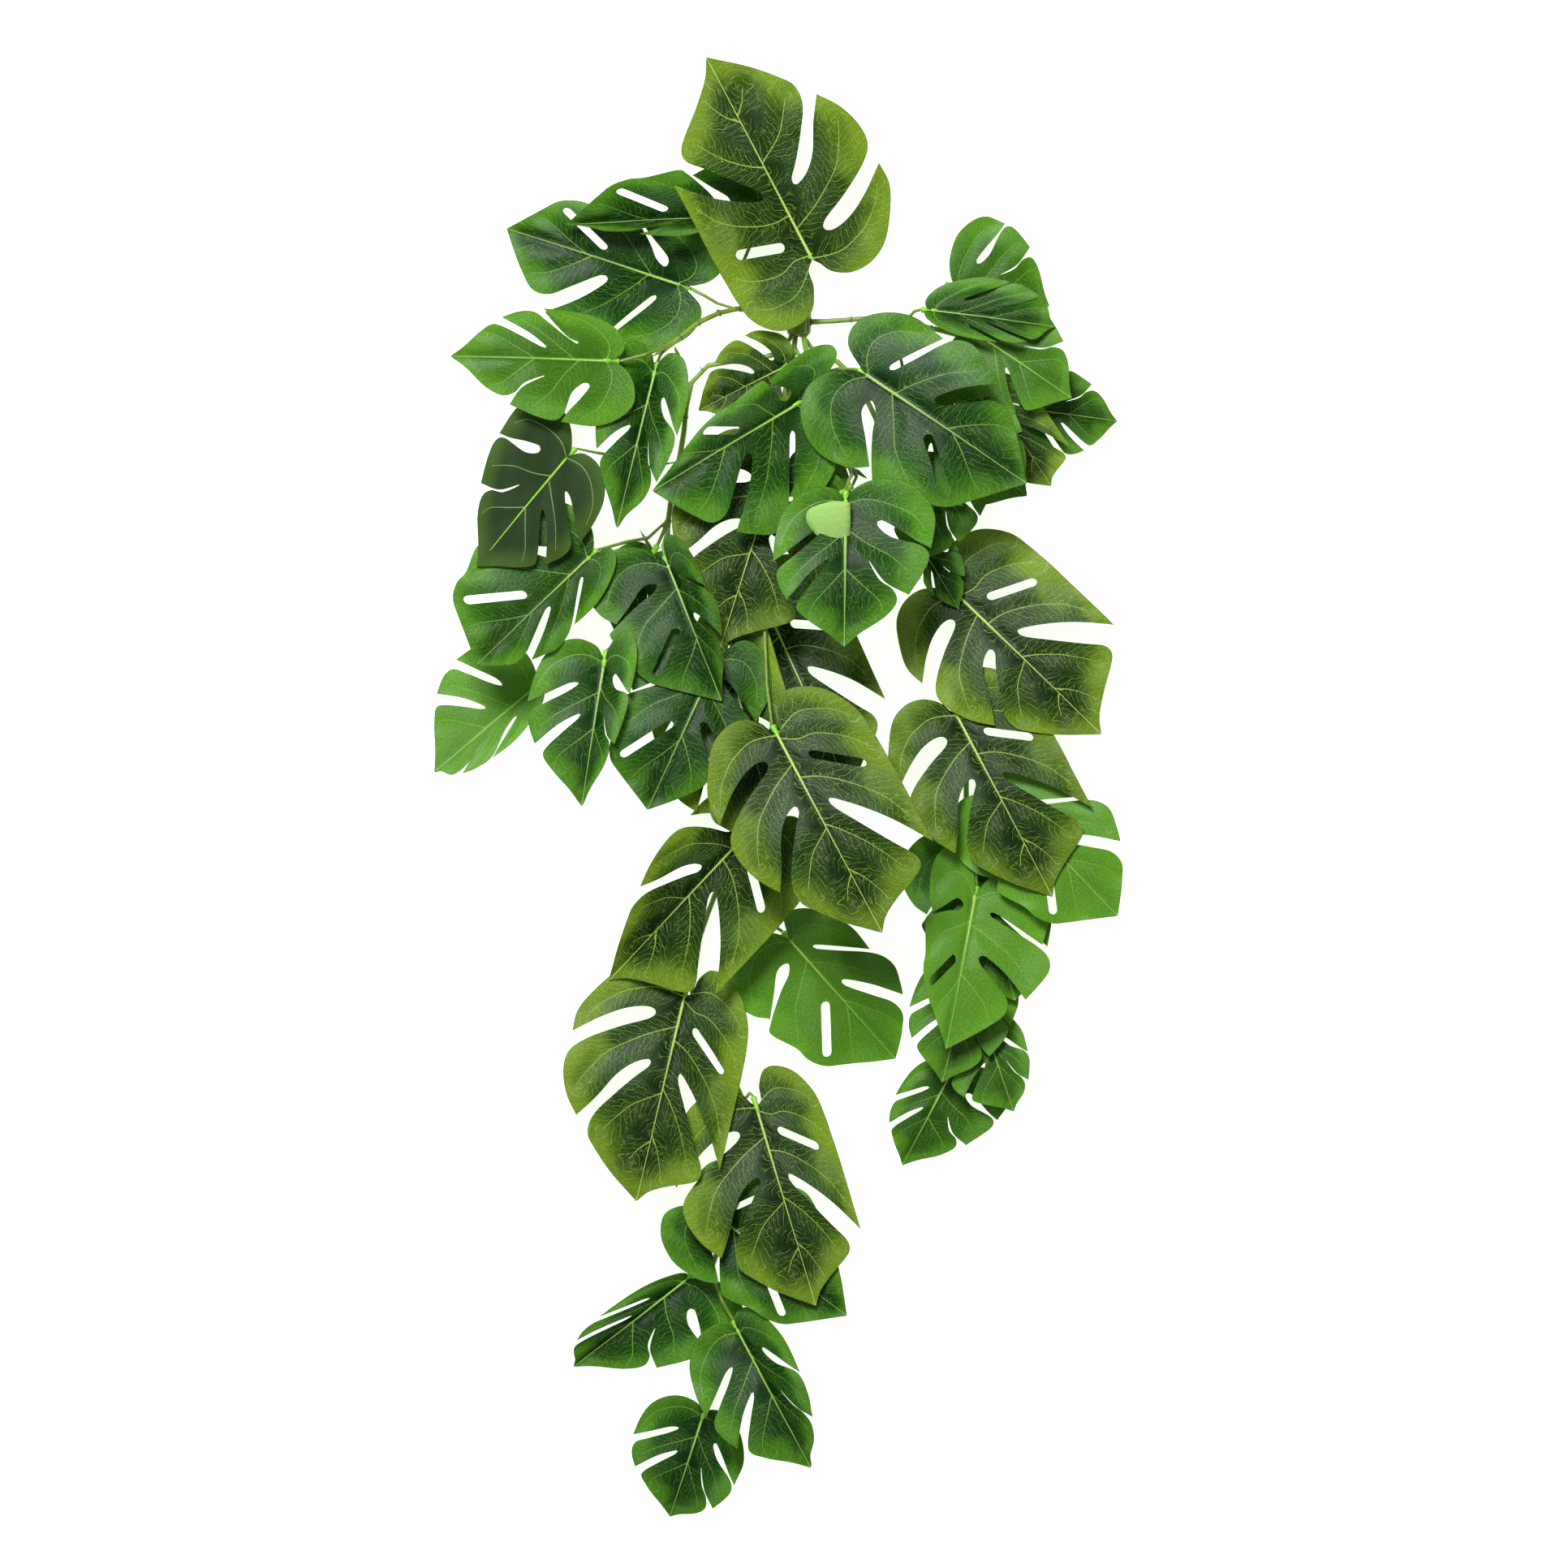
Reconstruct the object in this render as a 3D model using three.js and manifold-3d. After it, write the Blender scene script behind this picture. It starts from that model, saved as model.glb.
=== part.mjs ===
// An artificial hanging monstera spray, laid face up on a flat surface: fabric leaves cut by three dies,
// on plastic vines that leave one crown. Millimetres, +Z up, +Y from the trailing end to the crown.
import * as THREE from 'three';
import Module from 'manifold-3d';
import { mergeVertices } from 'three/addons/utils/BufferGeometryUtils.js';

const wasm = await Module();
wasm.setup();

// Driving dimensions
const BLADE = 0.8; // thickness of a leaf blade
const AIR = 1.2; // least height of a leaf above whatever it lies over
const FOLD = 5; // degrees by which the halves of a leaf rise from its midrib
const PITCH = 7; // degrees by which a leaf's tip lies higher than its base
const BOW = 5; // how far a midrib bows up
const CUP = 5; // how far the margins fall
const SEAT_GAP = 0.3; // between a stalk and the collar that sits on it, and a vine and the crown
const VINE_RADIUS = 1.9;
const VINE_SIDES = 5;
const VINE_STEP = 14; // length of a vine between two of its rings
const STALK_RADIUS = 1.3;
const STALK_SIDES = 5;
const STALK_STEP = 24;
const STALK_LEAD = 0.25; // share of a stalk's reach over which it follows its vine
const COLLAR_RADIUS = 1.9;
const COLLAR_LENGTH = 9;
const COLLAR_REACH = 3; // how far a collar runs on under its blade
const COLLAR_SLOPE = 0.25; // how steeply a collar falls away from its blade
const APPROACH = 10; // length of straight stalk behind a collar
const BUD_RADIUS = 1.8;
const BUD_WAIST = 0.4; // where along a bud it is widest
const PLACES = 100; // places along a vine where a stalk may leave it
const HUMPS = [0, 6, 12, 20, 30, 42]; // heights by which a stalk may bow up
const CROWN = { x: 13, y: 268, length: 24, radius: 7, sides: 12 };
const STUB = { length: 56, radius: 4.5, sides: 10 };

// The three cutting dies. u runs along the midrib from the notch to the tip, v to the left of it.
// Each side is drawn from the notch to the tip. The hole is a slot with round ends.
// The centres are points inside the lobes, where the blade may bow.
const MIDRIB_STEPS = [0.18, 0.4, 0.62, 0.82];
const DIES = {
  large: {
    length: 133,
    halfWidth: 56,
    left: [
      [-5, 5], [-15, 7], [-26, 14], [-30, 25], [-27, 38], [-15, 48], [0, 51], [25, 52], [44, 52],
      [76, 52], [61, 38], [51, 25], [44, 12], [45, 9], [50, 10], [61, 19], [75, 31], [84, 39],
      [91, 39], [98, 33], [110, 19], [122, 7],
    ],
    right: [
      [-4, -3], [-11, -7], [-17, -17], [-17, -30], [-10, -43], [6, -55], [19, -61], [32, -61],
      [21, -47], [13, -33], [10, -21], [12, -15], [17, -17], [25, -34], [35, -51], [44, -60],
      [56, -61], [71, -56], [84, -47], [71, -38], [55, -29], [46, -20], [43, -12], [47, -11],
      [55, -18], [68, -28], [82, -37], [94, -38], [103, -32], [117, -19],
    ],
    hole: { side: 'left', from: [15, 14], to: [22, 36], width: 6 },
    centres: { left: [[0, 26], [38, 34], [80, 18]], right: [[0, -25], [38, -34], [82, -18]] },
  },
  medium: {
    length: 112,
    halfWidth: 48,
    left: [
      [-6, 2], [-18, 8], [-22, 17], [-19, 28], [-8, 38], [6, 43], [25, 42], [17, 28], [10, 15],
      [9, 11], [12, 11], [19, 24], [26, 38], [33, 46], [43, 48], [56, 43], [66, 38], [52, 26],
      [43, 15], [41, 10], [46, 9], [59, 20], [69, 28], [80, 28], [91, 20], [102, 10],
    ],
    right: [
      [-9, -3], [-19, -12], [-24, -25], [-19, -39], [-8, -49], [6, -53], [22, -50], [32, -43],
      [21, -31], [10, -19], [11, -11], [17, -15], [23, -27], [35, -45], [41, -49], [60, -43],
      [71, -42], [82, -37], [90, -28], [101, -14],
    ],
    hole: { side: 'right', from: [51, -11], to: [76, -30], width: 6 },
    centres: { left: [[-3, 20], [38, 28], [72, 12]], right: [[0, -26], [44, -30], [80, -14]] },
  },
  small: {
    length: 92,
    halfWidth: 42,
    left: [
      [-6, 3], [-11, 11], [-12, 21], [-9, 31], [1, 40], [15, 45], [34, 43], [29, 36], [20, 26],
      [14, 18], [17, 16], [25, 23], [32, 38], [39, 42], [49, 39], [62, 32], [53, 20], [39, 12],
      [51, 17], [58, 24], [66, 26], [75, 20], [84, 8],
    ],
    right: [
      [-7, -6], [-8, -17], [-2, -28], [9, -36], [24, -40], [39, -41], [29, -29], [20, -18],
      [19, -13], [26, -19], [36, -30], [44, -38], [53, -38], [63, -33], [47, -21], [37, -10],
      [40, -10], [51, -18], [63, -26], [69, -27], [76, -20], [84, -9],
    ],
    centres: { left: [[4, 24], [36, 26], [62, 10]], right: [[6, -22], [42, -26], [64, -10]] },
  },
};

// The routes of the vines, from the crown out, as points [x, y, z]
const VINES = {
  crown: [[13, 274, 8], [13, 287, 12]],
  upper_left: [[5.7, 276, 7], [0, 276, 7], [-24, 284, 12], [-37, 279, 18], [-53, 270, 24], [-60, 262, 26],
    [-68, 258, 26]],
  lower_left: [[9, 267.7, 9.5], [9, 262, 9.5], [-6, 255, 8], [-46, 247, 6], [-56, 202, 5], [-63, 166, 5],
    [-66, 135, 4], [-74, 98, 4]],
  long: [[11, 267.7, 4], [11, 262, 4], [6, 240, 4], [-8, 149, 4], [-1, 88, 4], [-1, 35, 4], [-27, -36, 4],
    [-50, -119, 4], [-14, -202, 4], [-40, -292, 4], [-32, -318, 4], [-38, -347, 4]],
  short: [[16, 267.7, 9.5], [16, 264, 9.5], [16, 260, 12], [20, 250, 22], [24, 235, 28], [30, 205, 32],
    [42, 190, 36]],
  lower_right: [[15.5, 267.7, 4], [15.5, 262, 4], [42, 248, 5], [90, 140, 5], [108, 111, 5], [111, 43, 5],
    [113, -55, 5], [121, -130, 5], [112, -150, 5]],
  upper_right: [[20.3, 276, 7], [26, 276, 7], [66, 278, 8], [87, 273, 8], [111, 266, 8], [123, 243, 7]],
};

const COLOURS = { olive: 0x4a6a24, green: 0x2c5a22, stem: 0x5a7a26 };

// Small unopened buds: the vine that each grows on, where, and its tip
const BUDS = [
  { vine: 'upper_left', at: [-60, 262], tip: [-76, 254, 9] },
  { vine: 'upper_left', at: [-60, 262], tip: [-55, 248, 12] },
  { vine: 'lower_left', at: [-68, 130], tip: [-83, 158, 6] },
  { vine: 'short', at: [42, 190], tip: [55, 181, 38] },
];

// Every leaf, from the lowest to the topmost, named after its vine. base and tip are where the ends of the
// midrib lie in plan, and at is where its stalk leaves the vine. For the left and the right half, spread is
// how wide the half is seen, less where it is folded and below zero where the leaf lies face down, sweep is
// how far its lobes slant towards the tip, and fold raises it from the midrib, in degrees. below names a
// vine that passes over the leaf, and stem is the way in which the stalk leaves the blade.
const LEAVES = [
  { name: 'leaf_long_12', pitch: -6, die: 'small', base: [-43, -367], tip: [-63, -428], at: [-38, -345],
    spread: [1, 1.25], sweep: [0.35, -0.1] },
  { name: 'leaf_long_10', die: 'small', base: [-54, -288], tip: [-119, -338], at: [-38, -285],
    spread: [1.05, 0.4], sweep: [-0.4, 0.5], fold: [6, 20] },
  { name: 'leaf_long_11', die: 'small', base: [-23, -316], tip: [20, -396], at: [-36, -300],
    spread: [0.5, 1], sweep: [0.1, -0.05], fold: [25, 6] },
  { name: 'leaf_long_9', die: 'medium', base: [-38, -247], tip: [41, -307], at: [-28, -235],
    spread: [1, 0.8] },
  { name: 'leaf_long_8', die: 'large', base: [-12, -185], tip: [23, -301], at: [-22, -180],
    spread: [0.8, 1.05], sweep: [0.35, 0.05] },
  { name: 'leaf_long_6', pitch: -6, die: 'medium', base: [8, -88], tip: [70, -158], at: [-30, -50],
    spread: [0.9, 1.1], sweep: [0.4, 0] },
  { name: 'leaf_long_7', die: 'large', base: [-54, -120], tip: [-82, -240], at: [-46, -100],
    spread: [0.9, 1.05], sweep: [0.5, 0.1] },
  { name: 'leaf_long_5', pitch: -6, die: 'large', base: [-13, -20], tip: [-98, -111], at: [-10, 0],
    spread: [1.05, 0.55], sweep: [0.35, -0.15], fold: [6, 20] },
  { name: 'leaf_lower_right_10', pitch: -6, die: 'small', base: [102, -167], tip: [74, -221], at: [112, -148],
    spread: [1.3, 0.85], sweep: [-0.4, 0] },
  { name: 'leaf_lower_right_9', die: 'small', base: [122, -137], tip: [139, -188], at: [118, -118],
    spread: [0.75, 1.3], sweep: [0.15, 0] },
  { name: 'leaf_lower_right_8', die: 'small', base: [113, -107], tip: [97, -171], at: [115, -85] },
  { name: 'leaf_lower_right_6', die: 'medium', base: [113, -38], tip: [140, -123], at: [112, -15],
    spread: [0.9, 1], sweep: [0.4, 0] },
  { name: 'leaf_lower_right_7', die: 'medium', base: [116, -62], tip: [99, -151], at: [113, -40],
    spread: [1.3, 0.65], sweep: [0, -0.35] },
  { name: 'leaf_lower_right_5', die: 'medium', base: [135, -6], tip: [199, -73], at: [112, 25],
    sweep: [0.25, 0.05] },
  { name: 'leaf_lower_right_4', die: 'large', base: [105, 45], tip: [161, -62], at: [109, 70],
    spread: [0.95, 0.9], sweep: [0.35, -0.1] },
  { name: 'leaf_lower_right_3', die: 'large', base: [105, 116], tip: [190, 33], at: [96, 132],
    spread: [1.1, 0.95], sweep: [0.25, -0.1] },
  { name: 'leaf_long_2', die: 'large', base: [-6, 108], tip: [45, -5], at: [-5, 125],
    spread: [0.85, 1], sweep: [0.15, 0] },
  { name: 'leaf_long_3', die: 'large', base: [-29, 80], tip: [2, -33], at: [-4, 110],
    spread: [0.6, 1], sweep: [0, 0.25], fold: [20, 6] },
  { name: 'leaf_lower_left_9', die: 'medium', base: [-35, 76], tip: [-75, -11], at: [-68, 125],
    sweep: [0.05, 0.25] },
  { name: 'leaf_long_4', die: 'large', base: [0, 33], tip: [61, -82], at: [-1, 60],
    spread: [1, 0.9], sweep: [0.45, 0] },
  { name: 'leaf_long_1', die: 'large', base: [0, 188], tip: [-33, 83], at: [-2, 205],
    spread: [1.1, 1], sweep: [0.2, -0.1] },
  { name: 'leaf_lower_left_4', die: 'small', base: [-73, 138], tip: [-94, 91], at: [-62, 165] },
  { name: 'leaf_lower_left_8', die: 'medium', base: [-63, 131], tip: [-32, 52], at: [-63, 155],
    spread: [0.5, 1.25], sweep: [0, -0.1], fold: [25, 6] },
  { name: 'leaf_lower_left_6', die: 'small', base: [-143, 60], tip: [-201, 11], at: [-74, 100],
    spread: [0.45, 1.25], sweep: [0.45, -0.25], fold: [25, 6] },
  { name: 'leaf_lower_left_7', die: 'small', base: [-100, 76], tip: [-113, -9], at: [-74, 100],
    spread: [0.45, 1.05], sweep: [-0.35, -0.15], fold: [12, 5] },
  { name: 'leaf_lower_left_5', die: 'medium', base: [-109, 136], tip: [-174, 73], at: [-64, 160],
    spread: [0.65, 1.25], sweep: [0.4, 0.25] },
  { name: 'leaf_lower_left_2', die: 'small', base: [-121, 195], tip: [-174, 130], at: [-58, 195],
    spread: [-1, -1], sweep: [-0.4, 0] },
  { name: 'leaf_upper_left_1', pitch: 0, die: 'medium', base: [-57, 298], tip: [-159, 331], at: [-26, 284],
    spread: [1.1, 0.7], sweep: [0.2, 0.1], below: ['upper_left'] },
  { name: 'leaf_upper_left_4', die: 'small', base: [-71, 245], tip: [-93, 153], at: [-59, 264],
    spread: [0.5, 0.65], sweep: [0, -0.35], fold: [20, 12] },
  { name: 'leaf_upper_left_3', die: 'small', base: [-97, 250], tip: [-189, 252], at: [-64, 260],
    spread: [0.85, 0.7], sweep: [-0.15, 0] },
  { name: 'leaf_lower_right_2', pitch: -6, die: 'small', base: [83, 146], tip: [107, 106], at: [80, 162],
    spread: [0.8, 0.5] },
  { name: 'leaf_lower_right_1', pitch: -6, die: 'small', base: [99, 190], tip: [81, 133], at: [70, 190] },
  { name: 'leaf_upper_right_5', pitch: -6, die: 'small', base: [146, 225], tip: [201, 218], at: [122, 245] },
  { name: 'leaf_upper_right_4', die: 'large', base: [125, 234], tip: [161, 179], at: [118, 255],
    spread: [0.85, 1], sweep: [0.6, 0] },
  { name: 'leaf_upper_right_1', pitch: -6, die: 'small', base: [106, 297], tip: [161, 286], at: [95, 272],
    spread: [1.6, 1] },
  { name: 'leaf_upper_right_3', die: 'small', base: [115, 270], tip: [173, 230], at: [105, 268] },
  { name: 'leaf_upper_right_2', die: 'small', base: [91, 282], tip: [163, 272], at: [75, 276],
    spread: [0.65, 0.45], sweep: [0.5, 0.3], fold: [6, 25] },
  { name: 'leaf_upper_right_6', die: 'small', base: [85, 222], tip: [146, 172], at: [60, 277] },
  { name: 'leaf_long_0', die: 'large', base: [6, 250], tip: [-46, 223], at: [10, 262], below: ['short'] },
  { name: 'leaf_short_4', die: 'small', base: [38, 174], tip: [4, 152], at: [38, 195] },
  { name: 'leaf_short_1', die: 'medium', base: [13, 226], tip: [-72, 174], at: [24, 238],
    spread: [1.35, 0.5], sweep: [0.35, -0.5] },
  { name: 'leaf_short_2', die: 'medium', base: [52, 242], tip: [145, 178], at: [20, 248] },
  { name: 'leaf_short_3', die: 'small', base: [40, 168], tip: [39, 83], at: [42, 190],
    spread: [1.25, 1.1], sweep: [-0.1, 0] },
  { name: 'leaf_upper_left_2', die: 'medium', base: [-18, 338], tip: [-124, 332], at: [-24, 284],
    spread: [0.25, 0.6], fold: [35, 20] },
  { name: 'leaf_crown_1', die: 'large', base: [21, 311], tip: [-41, 428], at: [13, 286],
    stem: [-0.35, -0.75, -0.55] },
];

const rad = THREE.MathUtils.degToRad;
const key = (p) => `${Math.round(p[0] * 100)},${Math.round(p[1] * 100)}`;

// The round-ended slot of a die, as a loop of points
function slotLoop({ from, to, width }) {
  const angle = Math.atan2(to[1] - from[1], to[0] - from[0]);
  const half = width / 2;
  const end = (point, start) => [0, 1, 2].map((k) => {
    const turn = angle + start + (k * Math.PI) / 2;
    return [point[0] + half * Math.cos(turn), point[1] + half * Math.sin(turn)];
  });
  return [...end(from, Math.PI / 2), ...end(to, -Math.PI / 2)];
}

function insideCircle(a, b, c, d) {
  const rows = [a, b, c].map((p) => {
    const x = p[0] - d[0];
    const y = p[1] - d[1];
    return [x, y, x * x + y * y];
  });
  const [r, s, t] = rows;
  return r[0] * (s[1] * t[2] - s[2] * t[1]) - r[1] * (s[0] * t[2] - s[2] * t[0])
    + r[2] * (s[0] * t[1] - s[1] * t[0]) > 1e-6;
}

const turn = (a, b, c) => (b[0] - a[0]) * (c[1] - a[1]) - (b[1] - a[1]) * (c[0] - a[0]);

// Puts a point inside the triangle that holds it
function insert(faces, points, index) {
  const p = points[index];
  const at = faces.findIndex(([a, b, c]) => turn(points[a], points[b], p) >= 0
    && turn(points[b], points[c], p) >= 0 && turn(points[c], points[a], p) >= 0);
  if (at < 0) return;
  const [a, b, c] = faces[at];
  faces.splice(at, 1, [a, b, index], [b, c, index], [c, a, index]);
}

// Turns shared edges until the triangles are as even as they can be
function even(faces, points) {
  for (let round = 0; round < 60; round++) {
    let changed = false;
    for (let i = 0; i < faces.length; i++) {
      for (let j = i + 1; j < faces.length; j++) {
        const shared = faces[i].filter((k) => faces[j].includes(k));
        if (shared.length !== 2) continue;
        const c = faces[i].find((k) => !shared.includes(k));
        const d = faces[j].find((k) => !shared.includes(k));
        const k = faces[i].indexOf(c);
        const a = faces[i][(k + 1) % 3];
        const b = faces[i][(k + 2) % 3];
        const [pa, pb, pc, pd] = [a, b, c, d].map((n) => points[n]);
        if (turn(pc, pa, pd) <= 1e-3 || turn(pc, pd, pb) <= 1e-3) continue;
        if (!insideCircle(pa, pb, pc, pd)) continue;
        faces[i] = [c, a, d];
        faces[j] = [c, d, b];
        changed = true;
      }
    }
    if (!changed) return;
  }
}

// Splits one half of a blade, between the midrib and its margin, into triangles
function halfBlade(die, side) {
  const rib = MIDRIB_STEPS.map((t) => [t * die.length, 0]);
  const midrib = [[0, 0], ...rib, [die.length, 0]];
  const margin = [...die[side]].reverse();
  let outline = [...midrib, ...margin];
  let hole = die.hole && die.hole.side === side ? slotLoop(die.hole) : [];
  if (side === 'right') {
    outline = outline.reverse();
    hole = hole.reverse();
  }
  const toVectors = (loop) => loop.map((p) => new THREE.Vector2(...p));
  const points = [...outline, ...hole, ...die.centres[side]];
  const faces = THREE.ShapeUtils.triangulateShape(toVectors(outline), hole.length ? [toVectors(hole)] : [])
    .map(([a, b, c]) => (turn(points[a], points[b], points[c]) > 0 ? [a, b, c] : [a, c, b]));
  for (let k = points.length - die.centres[side].length; k < points.length; k++) insert(faces, points, k);
  even(faces, points);
  return faces.map((face) => face.map((k) => points[k]));
}

// The flat blade of a die: its points, its triangles and its rim, as edges that run anticlockwise
function flatBlade(die) {
  const points = [];
  const index = new Map();
  const at = (p) => {
    if (!index.has(key(p))) index.set(key(p), points.push(p) - 1);
    return index.get(key(p));
  };
  const faces = [...halfBlade(die, 'left'), ...halfBlade(die, 'right')].map((face) => face.map(at));
  const edges = new Set(faces.flatMap(([a, b, c]) => [`${a} ${b}`, `${b} ${c}`, `${c} ${a}`]));
  const rim = [...edges].map((edge) => edge.split(' ').map(Number))
    .filter(([a, b]) => !edges.has(`${b} ${a}`));
  return { points, faces, rim };
}

const BLADES = Object.fromEntries(Object.entries(DIES).map(([name, die]) => [name, flatBlade(die)]));

// Where a point (u, v) of a leaf's blade lies in space, before it is raised
function bladeSurface(leaf) {
  const { base, tip, pitch = PITCH, spread = [1, 1], sweep = [0, 0], fold = [FOLD, FOLD] } = leaf;
  const { length, halfWidth } = DIES[leaf.die];
  const from = new THREE.Vector2(...base);
  const ahead = new THREE.Vector2(...tip).sub(from);
  const size = ahead.length() / length;
  ahead.normalize();
  return (u, v) => {
    const half = v > 0 ? 0 : 1;
    const out = Math.abs(v);
    const along = size * (u + out * sweep[half]);
    const across = size * v * spread[half];
    const bow = BOW * Math.sin(Math.PI * Math.max(0, u / length)) ** 2 - CUP * (v / halfWidth) ** 2;
    const height = size * (u * Math.sin(rad(pitch)) + out * Math.sin(rad(fold[half])) + bow);
    return new THREE.Vector3(
      from.x + along * ahead.x - across * ahead.y,
      from.y + along * ahead.y + across * ahead.x,
      height,
    );
  };
}

// The closed blade: the same triangles on both faces, and a wall round the rim
function bladeGeometry(leaf) {
  const { points, faces, rim } = BLADES[leaf.die];
  const surface = bladeSurface(leaf);
  const normals = points.map(([u, v]) => {
    const along = surface(u + 0.5, v).sub(surface(u - 0.5, v));
    const across = surface(u, v + 0.5).sub(surface(u, v - 0.5));
    return along.cross(across).normalize();
  });
  const face = (side) => points.map(([u, v], k) => (
    surface(u, v).addScaledVector(normals[k], (side * BLADE) / 2)
  ));
  const n = points.length;
  const index = faces.flatMap(([a, b, c]) => [a, b, c, a + n, c + n, b + n]);
  rim.forEach(([a, b]) => index.push(a, a + n, b, b, a + n, b + n));
  const geometry = new THREE.BufferGeometry().setFromPoints([...face(1), ...face(-1)]);
  geometry.setIndex(index);
  return geometry;
}

// Closed solids that can be joined
function toSolid(geometry) {
  let bare = geometry.clone();
  bare.deleteAttribute('normal');
  bare.deleteAttribute('uv');
  bare = mergeVertices(bare, 1e-4);
  return new wasm.Manifold(new wasm.Mesh({
    numProp: 3,
    vertProperties: new Float32Array(bare.attributes.position.array),
    triVerts: new Uint32Array(bare.index.array),
  }));
}

function toGeometry(solid) {
  const { vertProperties, triVerts } = solid.getMesh();
  const geometry = new THREE.BufferGeometry();
  geometry.setAttribute('position', new THREE.BufferAttribute(new Float32Array(vertProperties), 3));
  geometry.setIndex(new THREE.BufferAttribute(new Uint32Array(triVerts), 1));
  return geometry;
}

const union = (solids) => solids.reduce((whole, piece) => whole.add(piece));

// A round bar along a curve, with flat ends
function bar(curve, radius, steps, sides) {
  const ring = Array.from({ length: sides }, (_, k) => {
    const angle = (2 * Math.PI * k) / sides;
    return new THREE.Vector2(radius * Math.cos(angle), radius * Math.sin(angle));
  });
  return new THREE.ExtrudeGeometry(new THREE.Shape(ring), { steps, extrudePath: curve, bevelEnabled: false });
}

const vineCurves = Object.fromEntries(Object.entries(VINES).map(([name, points]) => (
  [name, new THREE.CatmullRomCurve3(points.map((p) => new THREE.Vector3(...p)), false, 'centripetal')]
)));

// The triangles of a geometry, with their boxes in plan, for finding what lies over what
function trianglesOf(geometry) {
  const flat = geometry.index ? geometry.toNonIndexed() : geometry;
  const p = flat.attributes.position;
  const list = [];
  for (let k = 0; k < p.count; k += 3) {
    const corners = [0, 1, 2].map((n) => [p.getX(k + n), p.getY(k + n), p.getZ(k + n)]);
    const area = turn(...corners);
    if (Math.abs(area) < 0.02) continue;
    if (area < 0) corners.reverse();
    const xs = corners.map((c) => c[0]);
    const ys = corners.map((c) => c[1]);
    list.push({ corners, lo: [Math.min(...xs), Math.min(...ys)], hi: [Math.max(...xs), Math.max(...ys)] });
  }
  return list;
}

function heightAt([a, b, c], [x, y]) {
  const area = turn(a, b, c);
  const wa = turn(b, c, [x, y]) / area;
  const wb = turn(c, a, [x, y]) / area;
  return wa * a[2] + wb * b[2] + (1 - wa - wb) * c[2];
}

// The part of one triangle that lies inside another in plan
function common(first, second) {
  let loop = first.map((p) => [p[0], p[1]]);
  for (let k = 0; k < 3 && loop.length; k++) {
    const a = second[k];
    const b = second[(k + 1) % 3];
    const kept = [];
    loop.forEach((p, n) => {
      const q = loop[(n + 1) % loop.length];
      const dp = turn(a, b, p);
      const dq = turn(a, b, q);
      if (dp >= 0) kept.push(p);
      const share = dp / (dp - dq);
      if (dp * dq < 0) kept.push([p[0] + (q[0] - p[0]) * share, p[1] + (q[1] - p[1]) * share]);
    });
    loop = kept;
  }
  return loop;
}

// How far the upper piece must rise for its lowest face to touch the top of the lower one
function riseNeeded(upper, lower) {
  let rise = -Infinity;
  for (const a of upper) {
    for (const b of lower) {
      if (a.lo[0] > b.hi[0] || b.lo[0] > a.hi[0] || a.lo[1] > b.hi[1] || b.lo[1] > a.hi[1]) continue;
      for (const p of common(a.corners, b.corners)) {
        rise = Math.max(rise, heightAt(b.corners, p) - heightAt(a.corners, p));
      }
    }
  }
  return rise;
}

// The collar of a leaf: a short straight sleeve that comes up to the blade through its notch. The guide is
// the same with the straight end of the stalk behind it.
function collarOf(surface, stem) {
  const end = surface(COLLAR_REACH, 0).add(new THREE.Vector3(0, 0, -COLLAR_RADIUS / 2));
  const ahead = surface(COLLAR_LENGTH, 0).sub(surface(0, 0)).normalize();
  const back = new THREE.Vector3(...(stem ?? [-ahead.x, -ahead.y, -ahead.z - COLLAR_SLOPE])).normalize();
  const start = end.clone().addScaledVector(back, COLLAR_LENGTH);
  const stalk = start.clone().addScaledVector(back, APPROACH);
  const sleeve = (from, to, radius) => toSolid(bar(new THREE.LineCurve3(from, to), radius, 1, STALK_SIDES));
  return { start, back, solid: sleeve(start, end, COLLAR_RADIUS), guide: sleeve(stalk, end, STALK_RADIUS) };
}

// A stalk's curve, from a place on its vine to the back of its collar, bowed up by a height
function stalkCurve(vine, place, collar, height, hump) {
  const start = vineCurves[vine].getPointAt(place);
  const end = collar.start.clone().addScaledVector(collar.back, SEAT_GAP);
  end.z += height;
  const reach = start.distanceTo(end);
  const first = start.clone().addScaledVector(vineCurves[vine].getTangentAt(place), reach * STALK_LEAD);
  const second = end.clone().addScaledVector(collar.back, Math.min(APPROACH, reach / 2));
  first.z = Math.max(first.z + hump, 2 * STALK_RADIUS);
  return new THREE.CubicBezierCurve3(start, first, second, end);
}

function touches(first, second) {
  const a = first.boundingBox();
  const b = second.boundingBox();
  if ([0, 1, 2].some((k) => a.min[k] > b.max[k] || b.min[k] > a.max[k])) return false;
  return first.intersect(second).volume() > 1e-3;
}

// The place along a vine that is nearest to a point in plan
function nearestPlace(vine, at) {
  const target = new THREE.Vector2(...at);
  const distances = vineCurves[vine].getSpacedPoints(PLACES).map((p) => target.distanceTo(p));
  return distances.indexOf(Math.min(...distances));
}

// A stalk that is clear of the given solids: it is bowed up, and then moved up the vine, until it is
function clearStalk({ name, vine, at }, collar, height, solids) {
  for (let place = nearestPlace(vine, at); place > 0; place--) {
    for (const hump of HUMPS) {
      const curve = stalkCurve(vine, place / PLACES, collar, height, hump);
      const steps = Math.max(3, Math.round(curve.getLength() / STALK_STEP));
      const trial = toSolid(bar(curve, STALK_RADIUS + SEAT_GAP, steps, STALK_SIDES));
      if (solids.some((solid) => touches(trial, solid))) continue;
      return toSolid(bar(curve, STALK_RADIUS, steps, STALK_SIDES));
    }
  }
  throw new Error(`no clear way for the stalk of ${name}`);
}

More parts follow.
